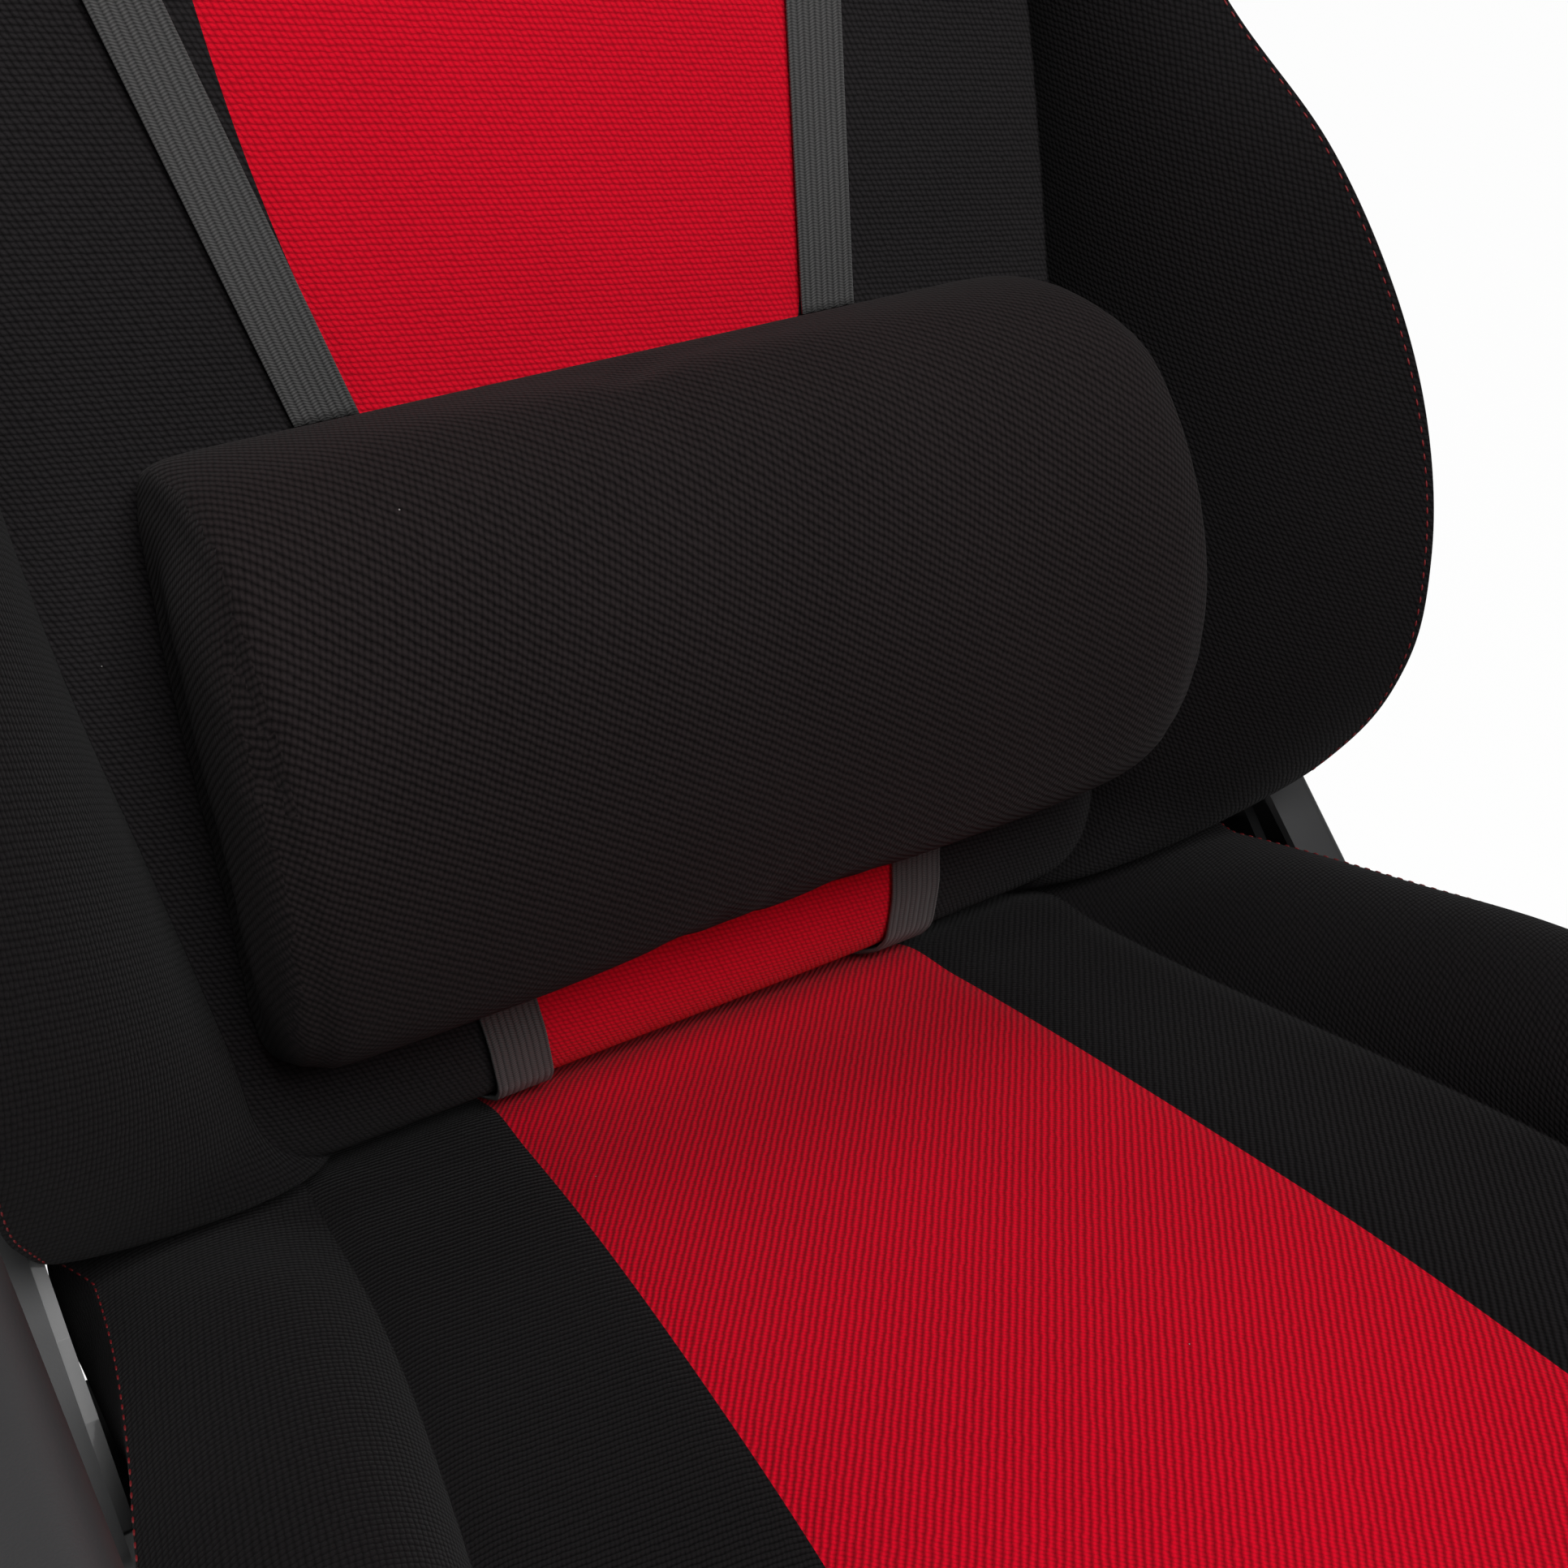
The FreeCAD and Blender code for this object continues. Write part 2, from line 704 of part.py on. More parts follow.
def seat_frame():
    half = 0.5 * rail_size
    low, high = rail_bottom, frame_top
    rails = []
    for side in (-1, 1):
        x = side * rail_x
        rails.append(square_tube(x - half, x + half, rail_front_y - half, rail_rear_y + half, low, high))
        y = side * cross_rail_y
        rails.append(square_tube(half - rail_x, rail_x - half, y - half, y + half, low, high))
    for y in (rail_front_y, rail_rear_y):
        rails.append(square_tube(half - rail_x, rail_x - half, y - half, y + half, low, high))
    body = fuse(rails)
    places = foot_bolts() + arm_bolts() + plate_bolts()
    return body.cut(bolt_holes(places, low - past, low + bolt_depth + past))


def seat_webbing():
    reach = rail_x + 0.5 * rail_size - webbing_end_gap
    first = rail_front_y + webbing_front_gap
    pitch = (rail_rear_y - webbing_rear_gap - first) / (webbing_count - 1)
    belts = []
    for index in range(webbing_count):
        y = first + index * pitch
        belts.append(box(-reach, reach, y - 0.5 * webbing_width, y + 0.5 * webbing_width,
                         frame_top, frame_top + webbing_thickness))
    return belts


def seat_under_cover():
    half = rail_x + 0.5 * rail_size
    front, rear = rail_front_y - 0.5 * rail_size, rail_rear_y + 0.5 * rail_size
    low, high = rail_bottom - under_cover_thickness, rail_bottom
    sheet = box(-half, half, front, rear, low, high)
    g = soft_gap
    wide = top_plate_half_width + g
    cuts = [box(-wide, wide, top_plate_front - g, top_plate_rear + g, low - past, high + past)]
    for side in (-1, 1):
        inner, outer = side * (foot_inner_x - g), side * (half + past)
        cuts.append(box(inner, outer, foot_front_y - g, foot_rear_y + g, low - past, high + past))
        reach = 0.5 * arm_foot_depth + g
        cuts.append(box(inner, outer, arm_y - reach, arm_y + reach, low - past, high + past))
    for cut in cuts:
        sheet = sheet.cut(cut)
    return sheet


def seat_bolts():
    bolts = []
    groups = [(foot_bolts(), plate_bottom), (arm_bolts(), plate_bottom),
              (plate_bolts(), rail_bottom - top_plate_thickness)]
    for places, under in groups:
        for x, y in places:
            head = rod(bolt_head_radius, (x, y, under - bolt_head_height), (x, y, under))
            shank = rod(bolt_radius, (x, y, under), (x, y, rail_bottom + bolt_depth))
            bolts.append(head.fuse(shank))
    return bolts


# Recliner

recline_centre = (junction_y + recline_y, junction_z + recline_z)


def recliner_lower():
    y, z = recline_centre
    x0, x1 = lower_bracket_x, lower_bracket_x + bracket_thickness
    profile = [(junction_y - 27, junction_z + 18), (junction_y - 40, junction_z),
               (junction_y - 60, junction_z - 20), (foot_front_y + 6, plate_bottom + 32),
               (foot_front_y, plate_bottom), (foot_rear_y, plate_bottom),
               (foot_rear_y + 11, plate_bottom + 27), (y + 26, z - 6), (y + 18, z + 24), (y - 8, z + 30),
               (y - 32, z + 22)]
    plate = rounded_prism(profile, x0, x1, bracket_corner)
    foot = box(foot_inner_x, x1, foot_front_y, foot_rear_y, plate_bottom, plate_bottom + bracket_thickness)
    upper_inner = lower_bracket_x - bracket_gap - bracket_thickness
    pin = rod(recline_pin_radius, (x0, y, z), (upper_inner - bracket_gap - recline_head_thickness, y, z))
    head_x = upper_inner - bracket_gap
    head = rod(recline_head_radius, (head_x - recline_head_thickness, y, z), (head_x, y, z))
    body = fuse([plate, foot, pin, head])
    places = [place for place in foot_bolts() if place[0] > 0]
    return body.cut(bolt_holes(places, plate_bottom - past, rail_bottom + past))


stud_places = ((58.0, -34.0), (92.0, -34.0))
upper_arm_outline = ((20, 4), (20, -50), (112, -52), (118, -46), (118, -18), (70, 0))


def recliner_upper():
    y, z = recline_centre
    x1 = lower_bracket_x - bracket_gap
    x0 = x1 - bracket_thickness
    disc = rod(upper_disc_radius, (x0, y, z), (x1, y, z))
    arm_points = [back_point(0, v, w) for v, w in upper_arm_outline]
    arm = prism_x([(p.y, p.z) for p in arm_points], x0, x1)
    body = fuse([disc, arm])
    body = body.cut(rod(recline_pin_radius + running_gap, (x0 - past, y, z), (x1 + past, y, z)))
    studs = []
    for v, w in stud_places:
        tip = back_point(back_tube_foot_u, v, w)
        studs.append(rod(stud_radius, (x0 + 1, tip.y, tip.z), (back_tube_foot_u + 12, tip.y, tip.z)))
    return fuse([body] + studs)


def cover_profile(inset):
    y, z = recline_centre
    points = [(y + 40, z + 20), (y + 14, z + 52), (y - 24, z + 48), (junction_y - 38, junction_z + 27),
              (junction_y - 60, junction_z + 1), (junction_y - 100, junction_z - 46),
              (foot_front_y - 8, plate_bottom + 17), (foot_front_y + 12, rail_bottom),
              (foot_rear_y + 1, rail_bottom), (y + 36, plate_bottom + 27), (y + 42, z - 12)]
    centre_y = sum(p[0] for p in points) / len(points)
    centre_z = sum(p[1] for p in points) / len(points)
    moved = []
    for py, pz in points:
        reach = math.hypot(py - centre_y, pz - centre_z)
        share = 1 - inset / reach
        moved.append((centre_y + (py - centre_y) * share, centre_z + (pz - centre_z) * share))
    return moved


def hinge_cover():
    x0 = lower_bracket_x + bracket_thickness
    x1 = x0 + cover_depth
    outer = rounded_prism(cover_profile(0), x0, x1, cover_corner)
    rim = [e for e in outer.Edges if all(abs(v.X - x1) < 0.01 for v in e.Vertexes)]
    outer = outer.makeFillet(cover_rim, rim)
    inner = rounded_prism(cover_profile(cover_wall + 2), x0 - past, x1 - cover_wall, cover_corner - 3)
    return outer.cut(inner)


def recline_lever():
    y, z = recline_centre
    x0 = -(lower_bracket_x + bracket_thickness + cover_depth + turning_gap)
    x1 = x0 - lever_thickness
    hub = rod(lever_hub_radius, (x0, y, z), (x1, y, z))
    end_y, end_z = y - lever_length, z - lever_drop
    profile = [(y - 4, z + 12), (y - 10, z - 14), (end_y, end_z - 9), (end_y - 6, end_z), (end_y, end_z + 9)]
    arm = rounded_prism(profile, x0, x1, bracket_corner)
    return hub.fuse(arm).removeSplitter()


# Backrest. Each station: height v, centre surface w, fold u, wing edge u and w, rear corner u, rear w.
back_stations = (
    (-3.5, -17.0, 150.0, 168.0, -18.0, 166.0, -27.5),
    (3.0, 1.0, 157.0, 184.0, 6.0, 180.0, -41.0),
    (9.0, 13.0, 163.0, 196.0, 22.0, 190.0, -47.0),
    (17.0, 20.5, 174.0, 218.0, 38.0, 206.0, -51.0),
    (32.0, 26.0, 183.0, 254.0, 56.0, 240.0, -55.0),
    (58.0, 29.0, 186.0, 271.0, 84.0, 247.0, -58.0),
    (98.0, 26.5, 191.0, 276.0, 113.0, 247.0, -60.0),
    (145.0, 18.0, 197.0, 277.0, 125.0, 250.0, -60.0),
    (195.0, 5.5, 203.0, 277.0, 123.0, 256.0, -60.0),
    (248.0, -5.0, 207.0, 273.0, 110.0, 257.0, -60.0),
    (300.0, -7.0, 209.0, 265.0, 87.0, 252.0, -60.0),
    (350.0, -7.0, 209.0, 253.0, 52.0, 243.0, -60.0),
    (400.0, -7.0, 206.0, 242.0, 29.0, 234.0, -60.0),
    (450.0, -7.0, 203.0, 237.0, 19.0, 230.0, -60.0),
    (520.0, -6.0, 208.0, 248.0, 22.0, 238.0, -60.0),
    (600.0, -4.0, 216.0, 262.0, 32.0, 249.0, -60.0),
    (665.0, -1.0, 207.0, 251.0, 34.0, 240.0, -60.0),
    (725.0, 1.0, 178.0, 217.0, 28.0, 208.0, -59.0),
    (772.0, -4.0, 140.0, 170.0, 14.0, 163.0, -57.0),
    (802.0, -14.0, 98.0, 118.0, -4.0, 113.0, -51.0),
    (815.0, -27.0, 62.0, 74.0, -24.0, 71.0, -42.0),
)


def back_section(station):
    v, centre_w, fold_u, edge_u, edge_w, rear_u, rear_w = station
    dip = min(back_fold_dip, 0.12 * (centre_w - rear_w))
    fold_w = centre_w - dip
    side_w = min(side_corner_w, rear_w + side_share * (edge_w - rear_w))
    run_u, run_w = edge_u - fold_u, edge_w - fold_w
    chord = math.hypot(run_u, run_w)
    bulge = min(wing_bulge + wing_bulge_share * chord, 0.3 * chord)
    bulge_u = 0.5 * (fold_u + edge_u) - bulge * run_w / chord
    bulge_w = 0.5 * (fold_w + edge_w) + bulge * run_u / chord
    out_u, out_w = edge_u - rear_u, edge_w - side_w
    out_chord = math.hypot(out_u, out_w)
    out_bulge = min(outer_face_bulge, 0.1 * out_chord)
    outer_u = 0.5 * (rear_u + edge_u) + out_bulge * out_w / out_chord
    outer_w = 0.5 * (side_w + edge_w) - out_bulge * out_u / out_chord

    def at(u, w):
        return back_point(u, v, w)

    return Part.Wire([
        line(at(-rear_u, rear_w), at(rear_u, rear_w)),
        line(at(rear_u, rear_w), at(rear_u, side_w)),
        arc(at(rear_u, side_w), at(outer_u, outer_w), at(edge_u, edge_w)),
        arc(at(edge_u, edge_w), at(bulge_u, bulge_w), at(fold_u, fold_w)),
        arc(at(fold_u, fold_w), at(0, centre_w), at(-fold_u, fold_w)),
        arc(at(-fold_u, fold_w), at(-bulge_u, bulge_w), at(-edge_u, edge_w)),
        arc(at(-edge_u, edge_w), at(-outer_u, outer_w), at(-rear_u, side_w)),
        line(at(-rear_u, side_w), at(-rear_u, rear_w)),
    ])


def harness_block(side, grow, w0, w1):
    u0 = side * (harness_inner_u - grow)
    u1 = side * (harness_outer_u + grow)
    block = box(u0, u1, -w0, -w1, harness_bottom_v - grow, harness_top_v + grow)
    corner = harness_corner + grow
    return to_back(block.makeFillet(corner, edges_along(block, Y_AXIS)))


def harness_bezel(side):
    body = harness_block(side, 0, bezel_front_w, bezel_rear_w)
    thick = bezel_flange_thickness
    front = harness_block(side, bezel_flange, bezel_front_w, bezel_front_w - thick)
    rear = harness_block(side, bezel_flange, bezel_rear_w + thick, bezel_rear_w)
    hole = harness_block(side, -bezel_wall, bezel_front_w + past, bezel_rear_w - past)
    return fuse([body, front, rear]).cut(hole)


def harness_room(side):
    body = harness_block(side, soft_gap, far, -far)
    front = harness_block(side, bezel_flange + soft_gap, far, bezel_front_w - bezel_flange_thickness - soft_gap)
    rear = harness_block(side, bezel_flange + soft_gap, bezel_rear_w + bezel_flange_thickness + soft_gap, -far)
    return [body, front, rear]


def back_tube_route(side):
    places = ((back_tube_foot_u, back_tube_foot_v), (back_tube_foot_u, back_tube_waist_v),
              (back_tube_neck_u, back_tube_neck_v), (back_tube_neck_u, back_tube_head_v))
    return [back_point(side * u, v, back_tube_w) for u, v in places]


def back_tube_runs():
    runs = []
    for side in (-1, 1):
        route = back_tube_route(side)
        runs += [(start, end, back_tube_radius) for start, end in zip(route, route[1:])]
    crosses = ((back_tube_foot_u, back_tube_low_cross_v), (back_tube_foot_u, back_tube_waist_v),
               (back_tube_neck_u, back_tube_head_v))
    for reach, v in crosses:
        ends = back_point(-reach, v, back_tube_w), back_point(reach, v, back_tube_w)
        runs.append((ends[0], ends[1], back_cross_radius))
    return runs


def back_frame():
    body = None
    cores = []
    for start, end, radius in back_tube_runs():
        run = rod(radius, tuple(start), tuple(end))
        body = run if body is None else body.fuse(run)
        plug = (end - start).normalize() * (back_tube_radius + 3)
        cores.append(rod(radius - back_tube_wall, tuple(start + plug), tuple(end - plug)))
    for side in (-1, 1):
        for place in back_tube_route(side)[1:]:
            body = body.fuse(Part.makeSphere(back_tube_radius + back_tube_knuckle, place))
    for core in cores:
        body = body.cut(core)
    return max(body.Solids, key=lambda solid: solid.Volume)


def frame_channels():
    channels = []
    for start, end, radius in back_tube_runs():
        room = radius + soft_gap
        along = (end - start).normalize()
        knuckle = back_tube_radius + back_tube_knuckle + soft_gap
        across = along.cross(back_point(0, 0, 1) - back_point(0, 0, 0))
        depth = back_point(0, 0, 1) - back_point(0, 0, 0)
        if radius == back_tube_radius:
            room = knuckle
        first, last = start - along * knuckle, end + along * knuckle
        corners = [first + across * room - depth * room, first - across * room - depth * room,
                   first - across * room + depth * room, first + across * room + depth * room]
        face = Part.Face(Part.makePolygon(corners + corners[:1]))
        channels.append(face.extrude(last - first))
    return channels


def stud_room():
    room = []
    for side in (-1, 1):
        for v, w in stud_places:
            tip = back_point(side * back_tube_foot_u, v, w)
            start = (tip.x, tip.y, tip.z)
            end = (side * (lower_bracket_x + far), tip.y, tip.z)
            room.append(rod(stud_radius + soft_gap, start, end))
    return room


def back_cushion():
    body = Part.makeLoft([back_section(station) for station in back_stations], True, False)
    tools = frame_channels() + stud_room() + harness_room(-1) + harness_room(1)
    for tool in tools:
        body = body.cut(tool)
    return max(body.Solids, key=lambda solid: solid.Volume)


def rear_section(station):
    v, rear_u, rear_w = station[0], station[5], station[6]
    half = rear_u - rear_cover_inset
    front = rear_w - soft_gap - 0.2
    crown = front - min(rear_cover_crown, 0.2 * half)
    left, right = back_point(-half, v, front), back_point(half, v, front)
    return Part.Wire([line(left, right), arc(right, back_point(0, v, crown), left)])


def back_rear_cover():
    chosen = [station for station in back_stations if 30 < station[0] < 790]
    body = Part.makeLoft([rear_section(station) for station in chosen], True, False)
    for tool in harness_room(-1) + harness_room(1):
        body = body.cut(tool)
    return max(body.Solids, key=lambda solid: solid.Volume)


# Lumbar cushion. Its section is even in the middle and draws in towards each end.
lumbar_even_share = 0.8
lumbar_ends = ((0.8, 1.0), (0.88, 0.992), (0.95, 0.962), (0.985, 0.915), (1.0, 0.87))
lumbar_middle = (160.0, 40.0)
lumbar_outline = ((60.0, 31.2), (150.0, 19.4), (262.0, -4.2), (267.0, 36.0), (246.0, 82.0),
                  (166.0, 108.0), (96.0, 90.0), (64.5, 55.0))


def lumbar_section(share, scale):
    u = share * lumbar_half_width
    middle_v, middle_w = lumbar_middle
    points = []
    for v, w in lumbar_outline:
        points.append(back_point(u, middle_v + (v - middle_v) * scale, middle_w + (w - middle_w) * scale))
    rear_low, rear_mid, rear_high, top_mid, top_front, front_mid, low_front, low_mid = points
    return Part.Wire([
        arc(rear_low, rear_mid, rear_high),
        arc(rear_high, top_mid, top_front),
        arc(top_front, front_mid, low_front),
        arc(low_front, low_mid, rear_low),
    ])


def lumbar_cushion():
    even = lumbar_even_share
    body = Part.makeLoft([lumbar_section(-even, 1.0), lumbar_section(even, 1.0)], True, True)
    for side in (-1, 1):
        end = Part.makeLoft([lumbar_section(side * share, scale) for share, scale in lumbar_ends], True, False)
        body = body.fuse(end)
    return body.removeSplitter()


def offset_side(points, radii, shift):
    edges = []
    directions = []
    for a, b in zip(points, points[1:]):
        length = math.hypot(b[0] - a[0], b[1] - a[1])
        directions.append(((b[0] - a[0]) / length, (b[1] - a[1]) / length))

    def moved(point, direction):
        return V(0, point[0] - shift * direction[1], point[1] + shift * direction[0])

    start = moved(points[0], directions[0])
    for index in range(1, len(points) - 1):
        before, after = directions[index - 1], directions[index]
        cross = before[0] * after[1] - before[1] * after[0]
        turn = math.atan2(cross, before[0] * after[0] + before[1] * after[1])
        reach = radii[index - 1] * math.tan(abs(turn) / 2)
        corner = points[index]
        enter = (corner[0] - before[0] * reach, corner[1] - before[1] * reach)
        leave = (corner[0] + after[0] * reach, corner[1] + after[1] * reach)
        side = 1 if turn > 0 else -1
        hub = (enter[0] - before[1] * radii[index - 1] * side, enter[1] + before[0] * radii[index - 1] * side)
        radius = radii[index - 1] - shift * side
        middle = (before[0] + after[0], before[1] + after[1])
        size = math.hypot(*middle)
        normal = (middle[1] / size * side, -middle[0] / size * side)
        first, last = moved(enter, before), moved(leave, after)
        edges.append(line(start, first))
        edges.append(arc(first, V(0, hub[0] + normal[0] * radius, hub[1] + normal[1] * radius), last))
        start = last
    edges.append(line(start, moved(points[-1], directions[-1])))
    return edges


def strap_band(points, radii, centre_u, slope, pivot_v):
    half = 0.5 * strap_thickness
    left = offset_side(points, radii, half)
    right = offset_side(points, radii, -half)
    start = line(left[0].Vertexes[0].Point, right[0].Vertexes[0].Point)
    end = line(left[-1].Vertexes[-1].Point, right[-1].Vertexes[-1].Point)
    face = Part.Face(Part.Wire(Part.__sortEdges__(left + right + [start, end])))
    band = face.extrude(V(strap_width, 0, 0))
    band.translate(V(centre_u - 0.5 * strap_width, 0, 0))
    shear = FreeCAD.Matrix()
    shear.A13 = slope
    shear.A14 = -slope * pivot_v
    return to_back(band.transformGeometry(shear))


# The upper straps slant outwards by different amounts, as pulled by hand.
upper_strap_v = 259.0
upper_strap_u = (-98.8, 98.3)
upper_strap_slope = (-0.258, 0.08)
lower_strap_v = 35.0
lower_strap_u = 88.0
strap_rear_w = -60.0 - rear_cover_crown - 2.1


def strap_offset_u(index, v):
    return upper_strap_u[index] + upper_strap_slope[index] * (v - upper_strap_v)


def lumbar_straps():
    half = 0.5 * strap_thickness
    rest = 7.0 - strap_lift - half
    over = -bezel_front_w - strap_lift - half
    behind = -bezel_rear_w + strap_lift + half
    through_v = harness_bottom_v + bezel_wall + strap_lift + half
    rear = -strap_rear_w
    slot_high = buckle_v + buckle_height - buckle_grip
    slot_low = buckle_v + buckle_grip
    upper = [(rest, 263.5), (rest, 552.0), (over, 578.0), (over, through_v),
             (behind, through_v), (behind, 572.0), (rear, 548.0), (rear, slot_high)]
    upper_radii = [40.0, 20.0, 2.2, 2.2, 20.0, 40.0]
    lower = [(-31.0, 59.5), (-29.3, 36.0), (-22.5, 14.8), (-13.0, 6.4), (1.0, 0.6), (17.0, -5.2),
             (30.0, -5.4), (44.0, 1.5), (58.0, 12.0), (73.0, 30.0), (rear, 75.0), (rear, slot_low)]
    lower_radii = [40.0, 18.0, 18.0, 20.0, 18.0, 18.0, 18.0, 20.0, 26.0, 60.0]
    straps = []
    for index, side in ((0, -1), (1, 1)):
        upper_u, upper_slope = upper_strap_u[index], upper_strap_slope[index]
        straps.append(strap_band(upper, upper_radii, upper_u, upper_slope, upper_strap_v))
        meet = strap_offset_u(index, slot_high)
        slope = (meet - side * lower_strap_u) / (slot_low - lower_strap_v)
        straps.append(strap_band(lower, lower_radii, side * lower_strap_u, slope, lower_strap_v))
    return straps


def strap_buckles():
    inner = -strap_rear_w - 1.1
    reach = 0.5 * buckle_slot_width
    half = 0.5 * buckle_width
    slot_depth = buckle_slot_depth
    low, high = buckle_v, buckle_v + buckle_height
    buckles = []
    for index in (0, 1):
        middle = strap_offset_u(index, high - buckle_grip)
        block = box(middle - half, middle + half, inner, inner + buckle_thickness, low, high)
        block = block.makeFillet(buckle_corner, edges_along(block, Z_AXIS))
        for v0, v1 in ((low - past, low + slot_depth), (high - slot_depth, high + past)):
            slot = box(middle - reach, middle + reach, inner - past, inner + buckle_slot_height, v0, v1)
            block = block.cut(slot)
        buckles.append(to_back(block))
    return buckles


# Armrests, made on the +X side

def armrest_bracket():
    half_y, half_x = 0.5 * sleeve_depth, 0.5 * sleeve_width
    sleeve_low = plate_bottom
    outer = rounded_box(arm_x - half_x, arm_x + half_x, arm_y - half_y, arm_y + half_y,
                        sleeve_low, sleeve_top, sleeve_corner)
    foot = rounded_box(foot_inner_x, arm_x, arm_y - 0.5 * arm_foot_depth, arm_y + 0.5 * arm_foot_depth,
                       plate_bottom, rail_bottom, arm_foot_corner)
    wall_x = arm_x - half_x + sleeve_wall - past
    gusset = [(wall_x - gusset_depth, rail_bottom - past), (wall_x, rail_bottom - past),
              (wall_x, plate_bottom + gusset_height)]
    ribs = []
    for side in (-1, 1):
        y = arm_y + side * gusset_y - 0.5 * gusset_thickness
        wire = Part.makePolygon([V(x, y, z) for x, z in gusset + gusset[:1]])
        ribs.append(Part.Face(wire).extrude(V(0, gusset_thickness, 0)))
    w = sleeve_wall
    cavity = rounded_box(arm_x - half_x + w, arm_x + half_x - w, arm_y - half_y + w, arm_y + half_y - w,
                         plate_bottom + sleeve_floor, sleeve_top + past, sleeve_corner - w)
    body = fuse([outer, foot] + ribs).cut(cavity)
    places = [place for place in arm_bolts() if place[0] > 0]
    return body.cut(bolt_holes(places, plate_bottom - past, rail_bottom + past))


def armrest_post():
    inset = sleeve_wall + slide_gap
    half_y, half_x = 0.5 * sleeve_depth - inset, 0.5 * sleeve_width - inset
    shaft = rounded_box(arm_x - half_x, arm_x + half_x, arm_y - half_y, arm_y + half_y,
                        post_bottom, post_top, sleeve_corner - inset)
    flange = rounded_box(arm_x - 0.5 * post_flange_width, arm_x + 0.5 * post_flange_width,
                         arm_y - 0.5 * post_flange_depth, arm_y + 0.5 * post_flange_depth,
                         post_top - post_flange_thickness, post_top, 14)
    hole = rod(swivel_pin_radius + running_gap, (arm_x, arm_y, post_top - swivel_pin_depth - past),
               (arm_x, arm_y, post_top + past))
    g = slide_gap
    face_x = arm_x + half_x
    room = box(face_x + button_stand - button_depth - button_travel - g, face_x + past,
               arm_y - 0.5 * button_width - g, arm_y + 0.5 * button_width + g,
               button_z - 0.5 * button_height - g, button_z + 0.5 * button_height + g)
    return fuse([shaft, flange]).cut(hole).cut(room)


def armrest_button():
    face_x = arm_x + 0.5 * sleeve_width - sleeve_wall - slide_gap
    block = box(face_x + button_stand - button_depth, face_x + button_stand,
                arm_y - 0.5 * button_width, arm_y + 0.5 * button_width,
                button_z - 0.5 * button_height, button_z + 0.5 * button_height)
    outer = [e for e in block.Edges if all(abs(v.X - face_x - button_stand) < 0.01 for v in e.Vertexes)]
    return block.makeFillet(1.5, outer)


def armrest_pad_support():
    low = post_top + turning_gap
    top = pad_top - pad_thickness
    disc = rod(support_disc_radius, (arm_x, arm_y, low), (arm_x, arm_y, top - support_plate_thickness))
    plate = rounded_box(pad_inner_x + support_inset_x, pad_inner_x + pad_width - support_inset_x,
                        pad_rear_y - pad_length + support_inset_y, pad_rear_y - support_inset_y,
                        top - support_plate_thickness, top, support_corner)
    pin = rod(swivel_pin_radius, (arm_x, arm_y, post_top - swivel_pin_depth), (arm_x, arm_y, low + past))
    return fuse([disc, plate, pin])


def armrest_pad():
    x0, x1 = pad_inner_x, pad_inner_x + pad_width
    y0, y1 = pad_rear_y - pad_length, pad_rear_y
    low, high = pad_top - pad_thickness, pad_top
    levels = ((low, 5.0), (low + 4, 1.0), (low + 9, 0.0), (high - pad_ridge_drop - 5, 0.0),
              (high - pad_ridge_drop, 1.2), (high, pad_ridge))
    wires = []
    for z, inset in levels:
        wires.append(pad_outline(x0 + inset, x1 - inset, y0 + inset, y1 - inset, z, pad_corner - inset))
    return Part.makeLoft(wires, True, True)


def pad_outline(x0, x1, y0, y1, z, corner):
    c, k = corner, corner * (1 - math.sqrt(0.5))
    return Part.Wire([
        line(V(x0 + c, y0, z), V(x1 - c, y0, z)), arc(V(x1 - c, y0, z), V(x1 - k, y0 + k, z), V(x1, y0 + c, z)),
        line(V(x1, y0 + c, z), V(x1, y1 - c, z)), arc(V(x1, y1 - c, z), V(x1 - k, y1 - k, z), V(x1 - c, y1, z)),
        line(V(x1 - c, y1, z), V(x0 + c, y1, z)), arc(V(x0 + c, y1, z), V(x0 + k, y1 - k, z), V(x0, y1 - c, z)),
        line(V(x0, y1 - c, z), V(x0, y0 + c, z)), arc(V(x0, y0 + c, z), V(x0 + k, y0 + k, z), V(x0 + c, y0, z)),
    ])


def export_pair(name, shape):
    export(name + "_left", [mirror_x(shape)])
    export(name + "_right", [shape])


